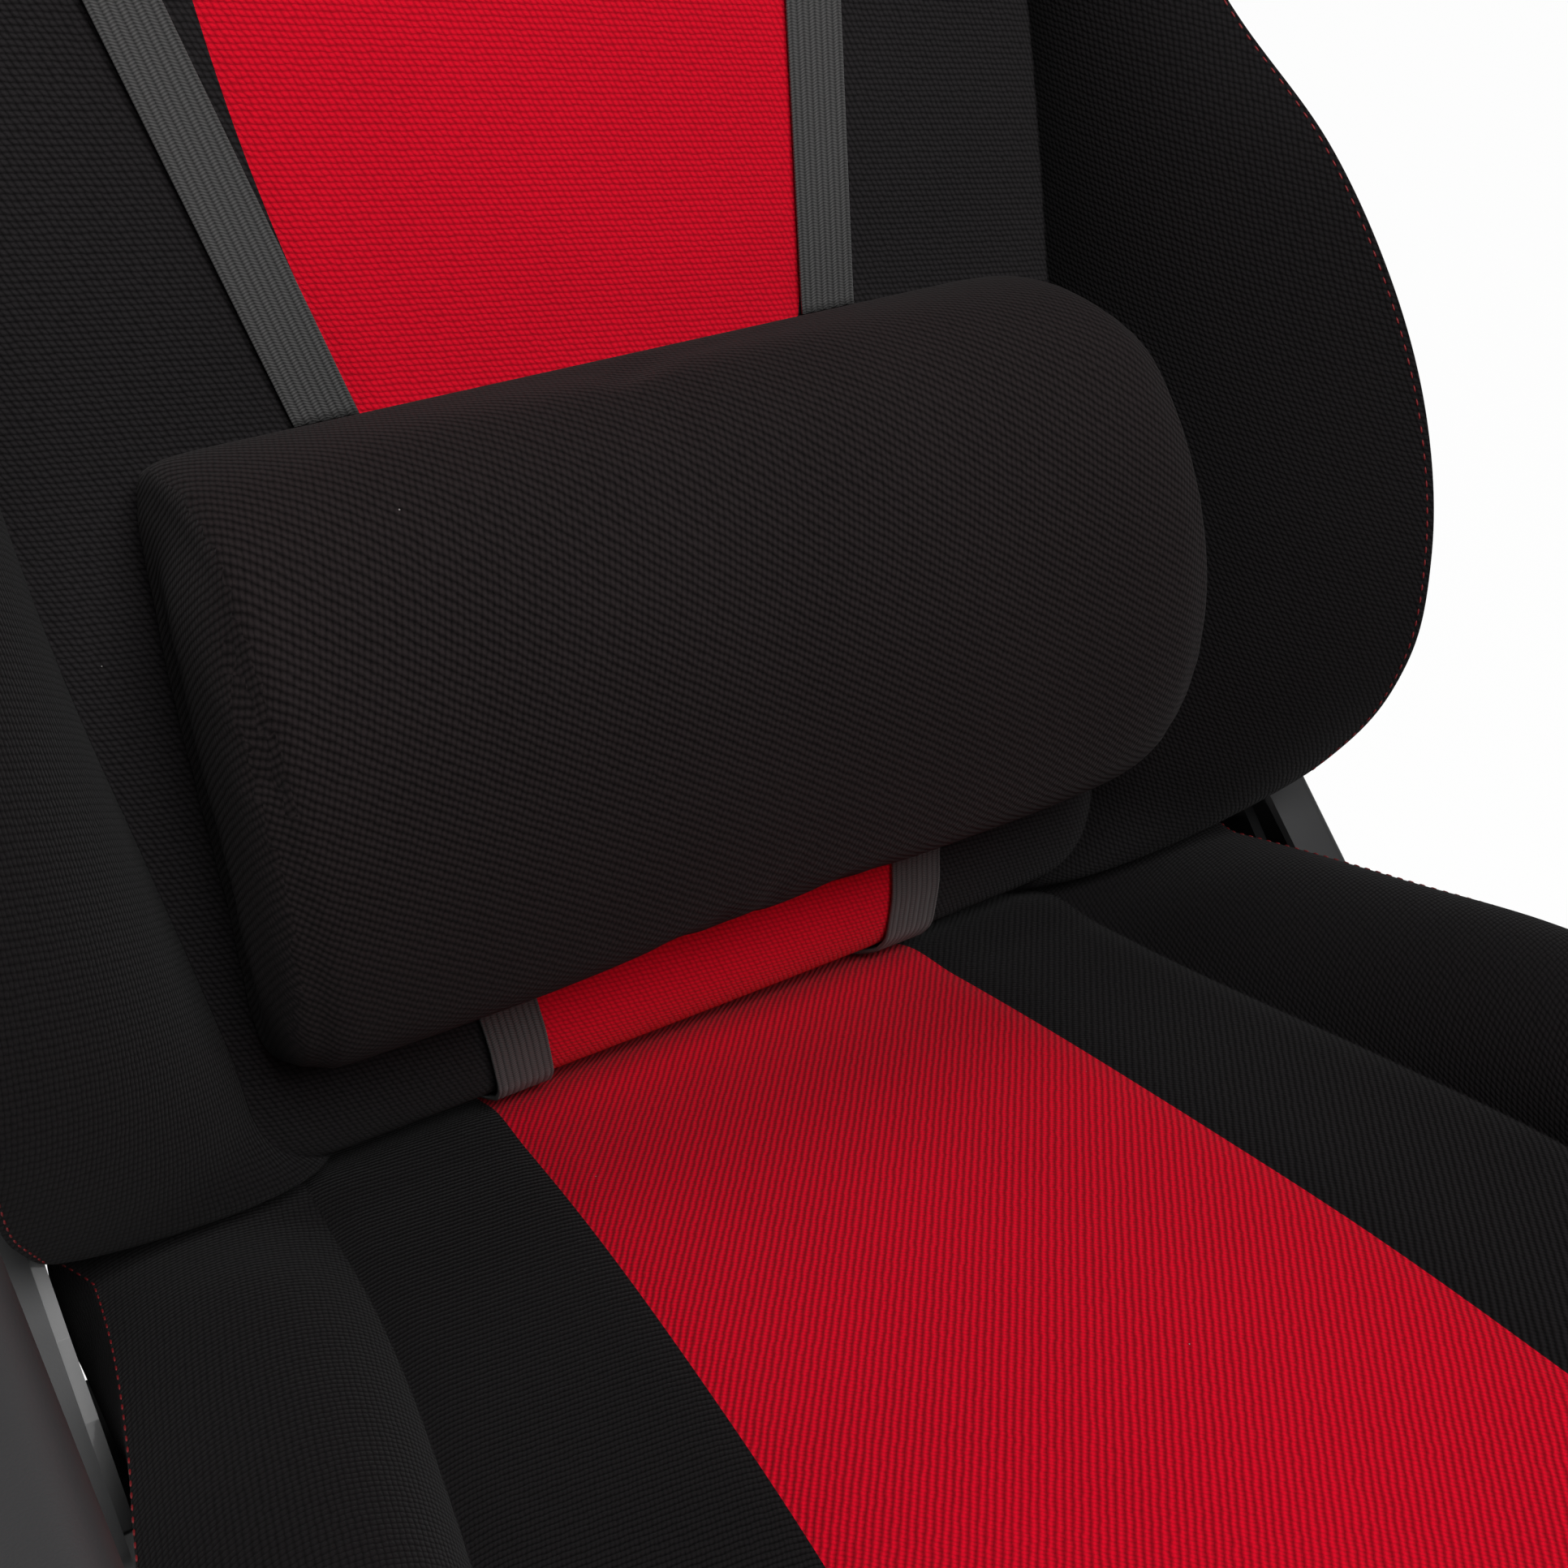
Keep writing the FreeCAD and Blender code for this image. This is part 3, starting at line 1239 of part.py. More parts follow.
def main():
    os.makedirs("parts", exist_ok=True)
    export("star_base", [star_base()])
    hood, pins = castor_hood(), castor_pins()
    wheels = [castor_wheel(-1), castor_wheel(1)]
    for index in range(leg_count):
        name = "castor_%d" % (index + 1)
        export(name + "_hood", [place_castor(hood, index)])
        export(name + "_pins", [place_castor(pin, index) for pin in pins])
        export(name + "_wheels", [place_castor(wheel, index) for wheel in wheels])
    export("gas_outer_tube", [gas_outer_tube()])
    export("gas_guide_bush", [gas_guide_bush()])
    export("gas_piston_rod", [gas_piston_rod()])
    export("gas_inner_tube", [gas_inner_tube()])
    export("cover_lower", [cover_lower()])
    export("cover_middle", [cover_middle()])
    export("cover_upper", [cover_upper()])
    export("mechanism_housing", [mechanism_housing()])
    export("tilt_pin", [tilt_pin()])
    export("tension_spring", [tension_spring()])
    export("tension_knob", [tension_knob()])
    export("lever_bush", [lever_bush()])
    export("height_lever", [height_lever()])
    export("mechanism_top_plate", [mechanism_top_plate()])
    export("seat_frame", [seat_frame()])
    export("seat_webbing", seat_webbing())
    export("seat_bolts", seat_bolts())
    export("seat_under_cover", [seat_under_cover()])
    export("seat_cushion", [seat_cushion()])
    export_pair("recliner_lower", recliner_lower())
    export_pair("recliner_upper", recliner_upper())
    export_pair("hinge_cover", hinge_cover())
    export("recline_lever", [recline_lever()])
    export("back_frame", [back_frame()])
    export("back_cushion", [back_cushion()])
    export("back_rear_cover", [back_rear_cover()])
    export("harness_bezels", [harness_bezel(-1), harness_bezel(1)])
    export("lumbar_cushion", [lumbar_cushion()])
    export("lumbar_straps", lumbar_straps())
    export("strap_buckles", strap_buckles())
    export_pair("armrest_bracket", armrest_bracket())
    export_pair("armrest_post", armrest_post())
    export_pair("armrest_button", armrest_button())
    export_pair("armrest_pad_support", armrest_pad_support())
    export_pair("armrest_pad", armrest_pad())


main()
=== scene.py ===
import json
import math

import bmesh
import bpy
from mathutils import Matrix, Vector, noise


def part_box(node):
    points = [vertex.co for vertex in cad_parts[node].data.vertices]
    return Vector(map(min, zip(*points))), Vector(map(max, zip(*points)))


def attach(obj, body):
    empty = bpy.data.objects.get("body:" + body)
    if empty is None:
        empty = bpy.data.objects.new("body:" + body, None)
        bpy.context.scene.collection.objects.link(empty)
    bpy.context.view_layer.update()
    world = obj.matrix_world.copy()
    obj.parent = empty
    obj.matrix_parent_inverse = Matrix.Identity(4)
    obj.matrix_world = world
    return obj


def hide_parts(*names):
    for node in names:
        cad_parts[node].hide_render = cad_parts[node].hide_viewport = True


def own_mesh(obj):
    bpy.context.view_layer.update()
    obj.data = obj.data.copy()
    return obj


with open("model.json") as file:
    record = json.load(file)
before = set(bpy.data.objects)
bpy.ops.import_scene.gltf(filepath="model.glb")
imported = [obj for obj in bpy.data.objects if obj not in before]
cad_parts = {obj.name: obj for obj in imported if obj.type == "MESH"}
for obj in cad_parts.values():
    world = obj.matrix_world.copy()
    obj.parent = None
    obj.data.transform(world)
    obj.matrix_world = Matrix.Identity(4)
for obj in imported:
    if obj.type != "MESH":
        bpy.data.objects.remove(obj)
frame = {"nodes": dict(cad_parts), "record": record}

bl_info = {
    "name": "Racing style swivel chair",
    "version": (1, 0, 0),
    "blender": (4, 5, 0),
    "location": "View3D > Sidebar > Chair",
    "description": "Dresses a racing style swivel chair: cloth, straps, pads, stitching and finishes",
    "category": "Object",
}

MM = 0.001

# Stations of the seat in millimetres: depth from the hinge line, drop at the ends, valley x, crest x,
# crest height, outer seam x, outer seam height.
SEAT_STATIONS = (
    (-24, 14, 164, 203, 2, 236, 0.5),
    (-20, 8, 166, 206, 3, 242, 1),
    (-10, 4.8, 168, 208, 3, 247, 2),
    (6, 0, 170, 212, 6.5, 250, 6),
    (35, 0, 171, 214, 10.5, 250.8, 9.5),
    (80, 0, 173, 220, 20, 254.3, 13.8),
    (130, 0, 178, 226, 26, 261.6, 16.5),
    (190, 0, 187, 233, 33, 272.5, 20),
    (260, 0, 199, 241, 38, 276, 23.5),
    (330, 2, 205, 244, 40, 275, 25),
    (400, 6, 207, 242, 37, 271, 23),
    (445, 11, 207, 239, 30, 265, 18),
    (472, 18, 206, 234, 22, 257, 11),
    (486, 27, 203, 226, 12, 245, 4),
    (490, 35, 196, 214, 5, 230, 0),
)

# Turns of the tilt spring and the steps of each
SPRING_TURNS = 9
TURN_STEPS = 24

# How far out the side of the seat may bulge beside the brackets, in millimetres
BRACKET_ROOM_X = 260.5

# Stations of the backrest in millimetres: height, centre depth, fold u, wing edge u and depth,
# rear corner u and depth, half width of the red panel.
BACK_STATIONS = (
    (-3.5, -17, 150, 168, -18, 166, -27.5, 94),
    (3, 1, 157, 184, 6, 180, -41, 94),
    (9, 13, 163, 196, 22, 190, -47, 93),
    (17, 20.5, 174, 218, 38, 206, -51, 92),
    (32, 26, 183, 254, 56, 240, -55, 90),
    (58, 29, 186, 271, 84, 247, -58, 88),
    (98, 26.5, 191, 276, 113, 247, -60, 84),
    (145, 18, 197, 277, 125, 250, -60, 81),
    (195, 5.5, 203, 277, 123, 256, -60, 81),
    (248, -5, 207, 273, 110, 257, -60, 84),
    (300, -7, 209, 265, 87, 252, -60, 97),
    (350, -7, 209, 253, 52, 243, -60, 107),
    (400, -7, 206, 242, 29, 234, -60, 113),
    (450, -7, 203, 237, 19, 230, -60, 116),
    (520, -6, 208, 248, 22, 238, -60, 108),
    (600, -4, 216, 262, 32, 249, -60, 78),
    (665, -1, 207, 251, 34, 240, -60, 74),
    (725, 1, 178, 217, 28, 208, -59, 78),
    (772, -4, 140, 170, 14, 163, -57, 80),
    (802, -14, 98, 118, -4, 113, -51, 60),
    (815, -27, 62, 74, -24, 71, -42, 40),
)

# Outline of the lumbar cushion's section, and how it draws in towards its ends.
LUMBAR_OUTLINE = ((60, 31.2), (150, 19.4), (262, -4.2), (267, 36), (246, 82),
                  (166, 108), (96, 90), (64.5, 55))
LUMBAR_MIDDLE = (160, 40)
LUMBAR_LEFT_END = ((-1, 0.90), (-0.985, 0.955), (-0.965, 0.985), (-0.93, 0.995), (-0.85, 1))
LUMBAR_RIGHT_END = ((0.78, 1), (0.87, 0.992), (0.94, 0.96), (0.98, 0.91), (1, 0.85))

# How far the cushion's left end is drawn in at half height, and how much more per millimetre of height
LEFT_END_IN = 8.0
LEFT_END_SLANT = 0.05

# Where the seam of each end panel runs, as a share of the half length, and how strongly it draws in
LEFT_SEAM = (0.93, 1.4)
RIGHT_SEAM = (0.955, 0.7)

# Routes of the straps in the side view, depth behind the junction and height, with the radius at each turn.
STRAP_REAR = 75.1
UPPER_STRAP = ((5.7, 263.5), (5.7, 552), (1.7, 578), (1.7, 597.3), (78.3, 597.3), (78.3, 572),
               (STRAP_REAR, 548), (STRAP_REAR, 344))
UPPER_RADII = (40, 20, 2.2, 2.2, 20, 40)
LOWER_STRAP = ((-31, 59.5), (-29.3, 36), (-22.5, 14.8), (-13, 6.4), (1, 0.6), (17, -5.2),
               (30, -5.4), (44, 1.5), (58, 12), (73, 30), (STRAP_REAR, 75), (STRAP_REAR, 308))
LOWER_RADII = (40, 18, 18, 20, 18, 18, 18, 20, 26, 60)

# Lowest and highest line of the rear cover, and how far it swells
REAR_COVER_V = (32, 772)
REAR_COVER_CROWN = 13.0

# Harness openings: middle u and v, width, height and corner, and for each cut how far it is grown
# and the depth where it starts and ends.
HARNESS_HOLE = (155, 622, 126, 60, 20)
HARNESS_CUTS = ((0.4, 60, -120), (8.4, 60, -7.4), (8.4, -72.6, -120))

UPPER_STRAP_V = 259.0
UPPER_STRAP_U = (-98.8, 98.3)
UPPER_STRAP_SLOPE = (-0.258, 0.08)
LOWER_STRAP_V = 35.0
LOWER_STRAP_U = 88.0


# Sizes and colours that a user would change

def length_setting(name, description, default):
    return bpy.props.FloatProperty(name=name, description=description, default=default, unit="LENGTH")


def angle_setting(name, description, default):
    return bpy.props.FloatProperty(name=name, description=description, default=default, subtype="ANGLE")


def colour_setting(name, description, default):
    return bpy.props.FloatVectorProperty(name=name, description=description, default=default, subtype="COLOR")


def place_setting(name, description, default):
    return bpy.props.FloatVectorProperty(name=name, description=description, default=default,
                                         subtype="TRANSLATION")


class ChairSizes(bpy.types.PropertyGroup):
    back_lean: angle_setting("Back lean", "How far the backrest leans from upright", math.radians(4.4))
    junction: place_setting("Junction", "Where the backrest meets the seat", (0.0, 0.2, 0.455))
    seat_underside: length_setting("Seat underside", "Height of the underside of the seat",
                                   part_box("seat_cushion")[0].z)
    seam_depth: length_setting("Seam depth", "How deep a sewn seam pulls the cloth in", 0.0016)
    seam_width: length_setting("Seam width", "Half width of the groove at a seam", 0.0035)
    lumbar_half_width: length_setting("Cushion half width", "Half the length of the lumbar cushion",
                                      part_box("lumbar_cushion")[1].x)
    strap_width: length_setting("Strap width", "Width of the elastic straps", 0.0225)
    strap_thickness: length_setting("Strap thickness", "Thickness of the elastic straps", 0.0014)
    strap_ribs: bpy.props.IntProperty(name="Strap ribs", description="Number of ribs across a strap", default=9)
    spring_wire: length_setting("Spring wire", "Thickness of the wire of the tilt spring", 0.0035)
    stitch_length: length_setting("Stitch length", "Length of one visible stitch", 0.0032)
    stitch_pitch: length_setting("Stitch pitch", "Distance from one stitch to the next", 0.0052)
    stitch_radius: length_setting("Stitch radius", "Radius of the sewing thread", 0.0004)


class ChairColours(bpy.types.PropertyGroup):
    black_cloth: colour_setting("Black cloth", "Black cloth of the backrest", (0.0105, 0.0095, 0.01))
    red_cloth: colour_setting("Red cloth", "Red panel of the backrest", (0.57, 0.0035, 0.017))
    # The wings' cloth is the same black cloth made darker, as painted shade on the wings
    shaded_wing_cloth: colour_setting("Shaded wing cloth", "Cloth on the wings", (0.0062, 0.0057, 0.006))
    seat_black: colour_setting("Ribbed black cloth", "Black cloth of the seat", (0.0048, 0.0042, 0.0045))
    seat_red: colour_setting("Ribbed red cloth", "Red panel of the seat", (0.45, 0.0012, 0.012))
    cushion_cloth: colour_setting("Cushion cloth", "Cloth of the lumbar cushion", (0.0085, 0.0066, 0.0068))
    strap: colour_setting("Strap", "Elastic straps", (0.034, 0.033, 0.0325))
    stitch: colour_setting("Stitching", "Decorative stitching", (0.2, 0.003, 0.006))
    soft_pad: colour_setting("Armrest pad", "Moulded armrest pads", (0.03, 0.03, 0.031))


class ViewSettings(bpy.types.PropertyGroup):
    place: place_setting("Camera place", "Where the camera stands", (-0.29442, -0.42172, 0.88553))
    yaw: angle_setting("Yaw", "Turn of the camera to the right", 0.50171)
    pitch: angle_setting("Pitch", "Tilt of the camera, down below zero", -0.449202)
    roll: angle_setting("Roll", "Roll of the camera", -0.093826)
    lens: bpy.props.FloatProperty(name="Lens", description="Focal length in millimetres", default=45.92)
    floor_colour: colour_setting("Floor", "Colour of the floor", (0.6, 0.6, 0.6))


def sizes():
    return bpy.context.scene.chair_sizes


def colours():
    return bpy.context.scene.chair_colours


# The short simulation that fills the lumbar cushion
CLOTH_SETTINGS = {"quality": 5, "mass": 0.3, "tension_stiffness": 15, "compression_stiffness": 15,
                  "bending_stiffness": 2.0}
CLOTH_FRAMES = 20


# Curves and sections

def track(table, key):
    """The values of a station table at key, on a smooth curve through its rows."""
    last = len(table) - 1
    index = 0
    while index < last - 1 and table[index + 1][0] <= key:
        index += 1

    def slope(i, column):
        if i == 0 or i == last:
            near = 1 if i == 0 else last - 1
            return (table[near][column] - table[i][column]) / (table[near][0] - table[i][0])
        before, after = table[i][0] - table[i - 1][0], table[i + 1][0] - table[i][0]
        rise = (table[i][column] - table[i - 1][column]) / before
        fall = (table[i + 1][column] - table[i][column]) / after
        return (rise * after + fall * before) / (before + after)

    span = table[index + 1][0] - table[index][0]
    t = (key - table[index][0]) / span
    weights = (2 * t ** 3 - 3 * t ** 2 + 1, t ** 3 - 2 * t ** 2 + t, 3 * t ** 2 - 2 * t ** 3, t ** 3 - t ** 2)
    values = []
    for column in range(1, len(table[0])):
        start, end = table[index][column], table[index + 1][column]
        value = weights[0] * start + weights[2] * end
        value += span * (weights[1] * slope(index, column) + weights[3] * slope(index + 1, column))
        values.append(value)
    return values


def clamp(share):
    return min(1.0, max(0.0, share))


def eased(count):
    """Shares from 0 to 1 that crowd towards both ends."""
    return [0.5 - 0.5 * math.cos(math.pi * i / count) for i in range(count + 1)]


def arc_through(a, b, c, shares):
    """Points on the arc from a through b to c at the given shares of its angle."""
    ax, ay, bx, by, cx, cy = *a, *b, *c
    d = 2 * (ax * (by - cy) + bx * (cy - ay) + cx * (ay - by))
    if abs(d) < 1e-9:
        return [(ax + (cx - ax) * s, ay + (cy - ay) * s) for s in shares]
    a2, b2, c2 = ax * ax + ay * ay, bx * bx + by * by, cx * cx + cy * cy
    hub_x = (a2 * (by - cy) + b2 * (cy - ay) + c2 * (ay - by)) / d
    hub_y = (a2 * (cx - bx) + b2 * (ax - cx) + c2 * (bx - ax)) / d
    radius = math.hypot(ax - hub_x, ay - hub_y)
    start = math.atan2(ay - hub_y, ax - hub_x)
    middle = (math.atan2(by - hub_y, bx - hub_x) - start) % math.tau
    sweep = (math.atan2(cy - hub_y, cx - hub_x) - start) % math.tau
    if middle > sweep:
        sweep -= math.tau
    return [(hub_x + radius * math.cos(start + sweep * s), hub_y + radius * math.sin(start + sweep * s))
            for s in shares]


def spread(stations, step):
    """Keys from the first station to the last, about one step apart, and finer where stations crowd."""
    keys = []
    for start, end in zip(stations, stations[1:]):
        count = max(2, round((end[0] - start[0]) / step))
        keys += [start[0] + (end[0] - start[0]) * i / count for i in range(count)]
    return keys + [stations[-1][0]]


def whole_loop(half):
    """A closed section from its right half, which runs from the top centre to the bottom centre."""
    mirrored = [(-x, y) for x, y in reversed(half)]
    return mirrored[:-1] + half


def back_point(u, v, w):
    size = sizes()
    sine, cosine = math.sin(size.back_lean), math.cos(size.back_lean)
    base = Vector(size.junction)
    return base + Vector((u, v * sine - w * cosine, v * cosine + w * sine)) * MM


# Meshes

def add_object(name, data):
    obj = bpy.data.objects.new(name, data)
    bpy.context.scene.collection.objects.link(obj)
    return obj


def make_piece(name, bm, materials, smooth=True):
    """An object from a bmesh, with doubles merged and its faces turned outwards."""
    bmesh.ops.remove_doubles(bm, verts=bm.verts, dist=1e-6)
    bmesh.ops.recalc_face_normals(bm, faces=bm.faces)
    mesh = bpy.data.meshes.new(name)
    bm.to_mesh(mesh)
    bm.free()
    for material in materials:
        mesh.materials.append(material)
    shade = mesh.shade_smooth if smooth else mesh.shade_flat
    shade()
    return add_object(name, mesh)


def skin(rows, material_of=None):
    """A bmesh grid laid over rows of points, with its surface lengths as the weave's UV map."""
    across, along = len(rows[0]) - 1, len(rows) - 1
    bm = bmesh.new()
    bmesh.ops.create_grid(bm, x_segments=across, y_segments=along, size=1.0)
    middle = across // 2
    lengths = [0.0]
    for before, after in zip(rows, rows[1:]):
        lengths.append(lengths[-1] + (after[middle] - before[middle]).length)
    widths = []
    for row in rows:
        run = [0.0]
        for before, after in zip(row, row[1:]):
            run.append(run[-1] + (after - before).length)
        widths.append([value - run[middle] for value in run])
    places = {}
    for vert in bm.verts:
        column = round((vert.co.x + 1) / 2 * across)
        row = round((vert.co.y + 1) / 2 * along)
        places[vert] = (column, row)
        vert.co = rows[row][column]
    weave = bm.loops.layers.uv.new("weave")
    for face in bm.faces:
        for loop in face.loops:
            column, row = places[loop.vert]
            loop[weave].uv = (widths[row][column], lengths[row])
        if material_of is not None:
            column = min(places[vert][0] for vert in face.verts)
            row = min(places[vert][1] for vert in face.verts)
            face.material_index = material_of(column, row)
    return bm


def middle_of(ring):
    """Middle of a ring of points whose last repeats the first."""
    return sum(ring[:-1], Vector()) / (len(ring) - 1)


def closed_ends(rows, bulge):
    """Rows with rings added at both ends that draw in to a point, so that the form is closed."""
    shares = ((0.985, 0.35), (0.93, 0.65), (0.8, 0.85), (0.5, 0.97), (0.0, 1.0))

    def rings(row, beside):
        middle = middle_of(row)
        outward = (middle - middle_of(beside)).normalized()
        return [[middle + (point - middle) * scale + outward * bulge * reach for point in row]
                for scale, reach in shares]

    return rings(rows[0], rows[1])[::-1] + rows + rings(rows[-1], rows[-2])


def groove(distance):
    """How far a seam draws the cloth in at a distance from it."""
    size = sizes()
    return size.seam_depth * math.exp(-(distance / size.seam_width) ** 2)


def ruffle(point, amount, scale):
    """A slow unevenness of the cloth."""
    return amount * noise.noise(point * scale)


def add_subdivision(piece, levels):
    modifier = piece.modifiers.new("Smooth", "SUBSURF")
    modifier.levels = levels
    modifier.render_levels = levels


def add_thickness(piece, thickness):
    modifier = piece.modifiers.new("Thickness", "SOLIDIFY")
    modifier.thickness = thickness
    modifier.offset = 0.0


def apply_modifiers(piece):
    evaluated = piece.evaluated_get(bpy.context.evaluated_depsgraph_get())
    mesh = bpy.data.meshes.new_from_object(evaluated)
    piece.modifiers.clear()
    piece.data = mesh


def inflate(piece, voxel, pressure, cap, freedom):
    """Fills a closed cloth form with a short cloth simulation, with each point's travel capped."""
    remesh = piece.modifiers.new("Voxels", "REMESH")
    remesh.mode = "VOXEL"
    remesh.voxel_size = voxel
    remesh.use_smooth_shade = True
    apply_modifiers(piece)
    rest = [vert.co.copy() for vert in piece.data.vertices]
    cloth = piece.modifiers.new("Filling", "CLOTH")
    for key, value in CLOTH_SETTINGS.items():
        setattr(cloth.settings, key, value)
    cloth.settings.use_pressure = True
    cloth.settings.uniform_pressure_force = pressure
    cloth.settings.effector_weights.gravity = 0
    cloth.point_cache.frame_start = 1
    cloth.point_cache.frame_end = CLOTH_FRAMES
    for step in range(1, CLOTH_FRAMES + 1):
        bpy.context.scene.frame_set(step)
    evaluated = piece.evaluated_get(bpy.context.evaluated_depsgraph_get())
    moved = [vert.co.copy() for vert in evaluated.data.vertices]
    piece.modifiers.clear()
    bpy.context.scene.frame_set(1)
    for vert, start, end in zip(piece.data.vertices, rest, moved):
        travel = end - start
        if travel.length > cap:
            travel = travel.normalized() * cap
        vert.co = start + travel * freedom(start)
    piece.data.update()


def stitch_line(name, points, normals, material):
    """A row of thread stitches along a line of points on the cloth."""
    size = sizes()
    bm = bmesh.new()
    walked, due = 0.0, 0.0
    for index in range(len(points) - 1):
        start, end = points[index], points[index + 1]
        step = (end - start).length
        while step > 0 and due <= walked + step:
            share = (due - walked) / step
            place = start.lerp(end, share)
            out = normals[index].lerp(normals[index + 1], share).normalized()
            along = (end - start).normalized()
            side = along.cross(out)
            turn = Matrix((side, out, along)).transposed().to_4x4()
            matrix = Matrix.Translation(place + out * size.stitch_radius * 0.4) @ turn
            stitch = bmesh.ops.create_icosphere(bm, subdivisions=1, radius=1.0)
            bmesh.ops.scale(bm, verts=stitch["verts"],
                            vec=(size.stitch_radius, size.stitch_radius, 0.5 * size.stitch_length))
            bmesh.ops.transform(bm, verts=stitch["verts"], matrix=matrix)
            due += size.stitch_pitch
        walked += step
    return make_piece(name, bm, [material])


def finish_piece(piece, body, slot, *nodes):
    """Lets a piece ride on a body and hides the CAD nodes that it stands for; the slot is not used."""
    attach(piece, body)
    if nodes:
        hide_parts(*nodes)


# Materials

def new_material(name):
    material = bpy.data.materials.new(name)
    material.use_nodes = True
    tree = material.node_tree
    tree.nodes.clear()
    shader = add_node(tree, "BsdfPrincipled")
    add_node(tree, "OutputMaterial", {"Surface": shader.outputs["BSDF"]})
    return material, tree, shader


def set_inputs(tree, node, inputs):
    """Links or fills the inputs of a node."""
    for key, value in inputs.items():
        if isinstance(value, bpy.types.NodeSocket):
            tree.links.new(value, node.inputs[key])
        else:
            node.inputs[key].default_value = value


def add_node(tree, kind, inputs=None, **settings):
    node = tree.nodes.new("ShaderNode" + kind)
    for key, value in settings.items():
        setattr(node, key, value)
    set_inputs(tree, node, inputs or {})
    return node


def cloud(tree, source, scale, detail, output="Fac"):
    """Soft noise over a source of coordinates."""
    return add_node(tree, "TexNoise", {"Vector": source, "Scale": scale, "Detail": detail}).outputs[output]


def remap(tree, value, low, high, first, last):
    """Turns values from low to high into values from first to last."""
    return add_node(tree, "MapRange", {"Value": value, 1: low, 2: high, 3: first, 4: last}).outputs[0]


def object_coordinates(tree):
    return add_node(tree, "TexCoord").outputs["Object"]


def weave_map(tree):
    return add_node(tree, "UVMap", uv_map="weave").outputs["UV"]


def maths(tree, operation, first, second=0.0, third=0.0):
    node = add_node(tree, "Math", {0: first, 1: second, 2: third}, operation=operation)
    return node.outputs[0]


def mix_colour(tree, share, first, second):
    node = add_node(tree, "Mix", {0: share, 6: first, 7: second}, data_type="RGBA")
    return node.outputs[2]


def rgba(colour, scale=1.0):
    return (min(1.0, colour[0] * scale), min(1.0, colour[1] * scale), min(1.0, colour[2] * scale), 1.0)


def bump(tree, shader, height, strength, distance):
    node = add_node(tree, "Bump", {"Strength": strength, "Distance": distance, "Height": height})
    tree.links.new(node.outputs["Normal"], shader.inputs["Normal"])


def weave_coordinates(tree, angle):
    turned = add_node(tree, "Mapping", {"Vector": weave_map(tree), "Rotation": (0.0, 0.0, angle)})
    return turned.outputs["Vector"]


def lint(tree, source, colour):
    """A few tiny pale specks of lint on the cloth."""
    cells = add_node(tree, "TexVoronoi", {"Vector": source, "Scale": 42.0}, feature="F1")
    speck = maths(tree, "LESS_THAN", cells.outputs["Distance"], 0.011)
    chance = add_node(tree, "SeparateColor", {"Color": cells.outputs["Color"]})
    rare = maths(tree, "GREATER_THAN", chance.outputs["Red"], 0.6)
    return mix_colour(tree, maths(tree, "MULTIPLY", speck, rare), colour, (0.28, 0.26, 0.25, 1.0))


def stitches_of(tree, source, pitch, row, stagger):
    """Coordinates in loops of the knit: the loops stand pitch apart in rows, and each row is shifted."""
    split = add_node(tree, "SeparateXYZ", {"Vector": source})
    up = maths(tree, "DIVIDE", split.outputs["Y"], row)
    along = maths(tree, "MULTIPLY_ADD", up, stagger, maths(tree, "DIVIDE", split.outputs["X"], pitch))
    return add_node(tree, "CombineXYZ", {"X": along, "Y": up}).outputs[0], up


def knit_material(name, colour, pitch, row, angle, stagger=0.5, rib=0.0, gap_shade=0.18, thread=2.1, relief=0.0004):
    """Knitted cloth: rows of thread loops on the piece's weave map, with rib as the share of raised rows. Its
    colour is painted shade in the hollows between the loops and painted highlight on their crests, with random
    patches of tone.
    """
    material, tree, shader = new_material(name)
    flat = weave_coordinates(tree, angle)
    wander = cloud(tree, flat, 240.0, 1.0, "Color")
    shift = add_node(tree, "VectorMath", {0: wander, 1: (0.0009, 0.0009, 0.0)}, operation="MULTIPLY")
    source = add_node(tree, "VectorMath", {0: flat, 1: shift.outputs[0]}, operation="ADD").outputs[0]
    grid, up = stitches_of(tree, source, pitch, row, stagger)
    cells = add_node(tree, "TexVoronoi", {"Vector": grid, "Scale": 1.0, "Randomness": 0.14},
                     voronoi_dimensions="2D", feature="F1")
    height = remap(tree, cells.outputs["Distance"], 0.2, 0.66, 1.0, 0.0)
    if rib:
        wave = maths(tree, "COSINE", maths(tree, "MULTIPLY", up, math.tau))
        height = maths(tree, "MULTIPLY_ADD", wave, 0.5 * rib, maths(tree, "MULTIPLY", height, 1.0 - 0.5 * rib))
        height = maths(tree, "ADD", height, 0.25 * rib)
    fibre = cloud(tree, source, 2400.0, 2.0)
    height = maths(tree, "MULTIPLY_ADD", fibre, 0.5, height)
    patch = cloud(tree, source, 14.0, 3.0)
    tone = maths(tree, "MULTIPLY_ADD", patch, 0.25, height)
    share = remap(tree, tone, 0.15, 1.5, 0.0, 1.0)
    # Painted shade in the hollows between the loops and painted highlight on their crests, with random patches
    # of tone
    tint = mix_colour(tree, share, rgba(colour, gap_shade), rgba(colour, thread))
    set_inputs(tree, shader, {"Base Color": lint(tree, source, tint), "Roughness": 0.92,
                              "Specular IOR Level": 0.06, "Sheen Weight": 0.03, "Sheen Roughness": 0.5})
    bump(tree, shader, height, 0.9, relief)
    return material


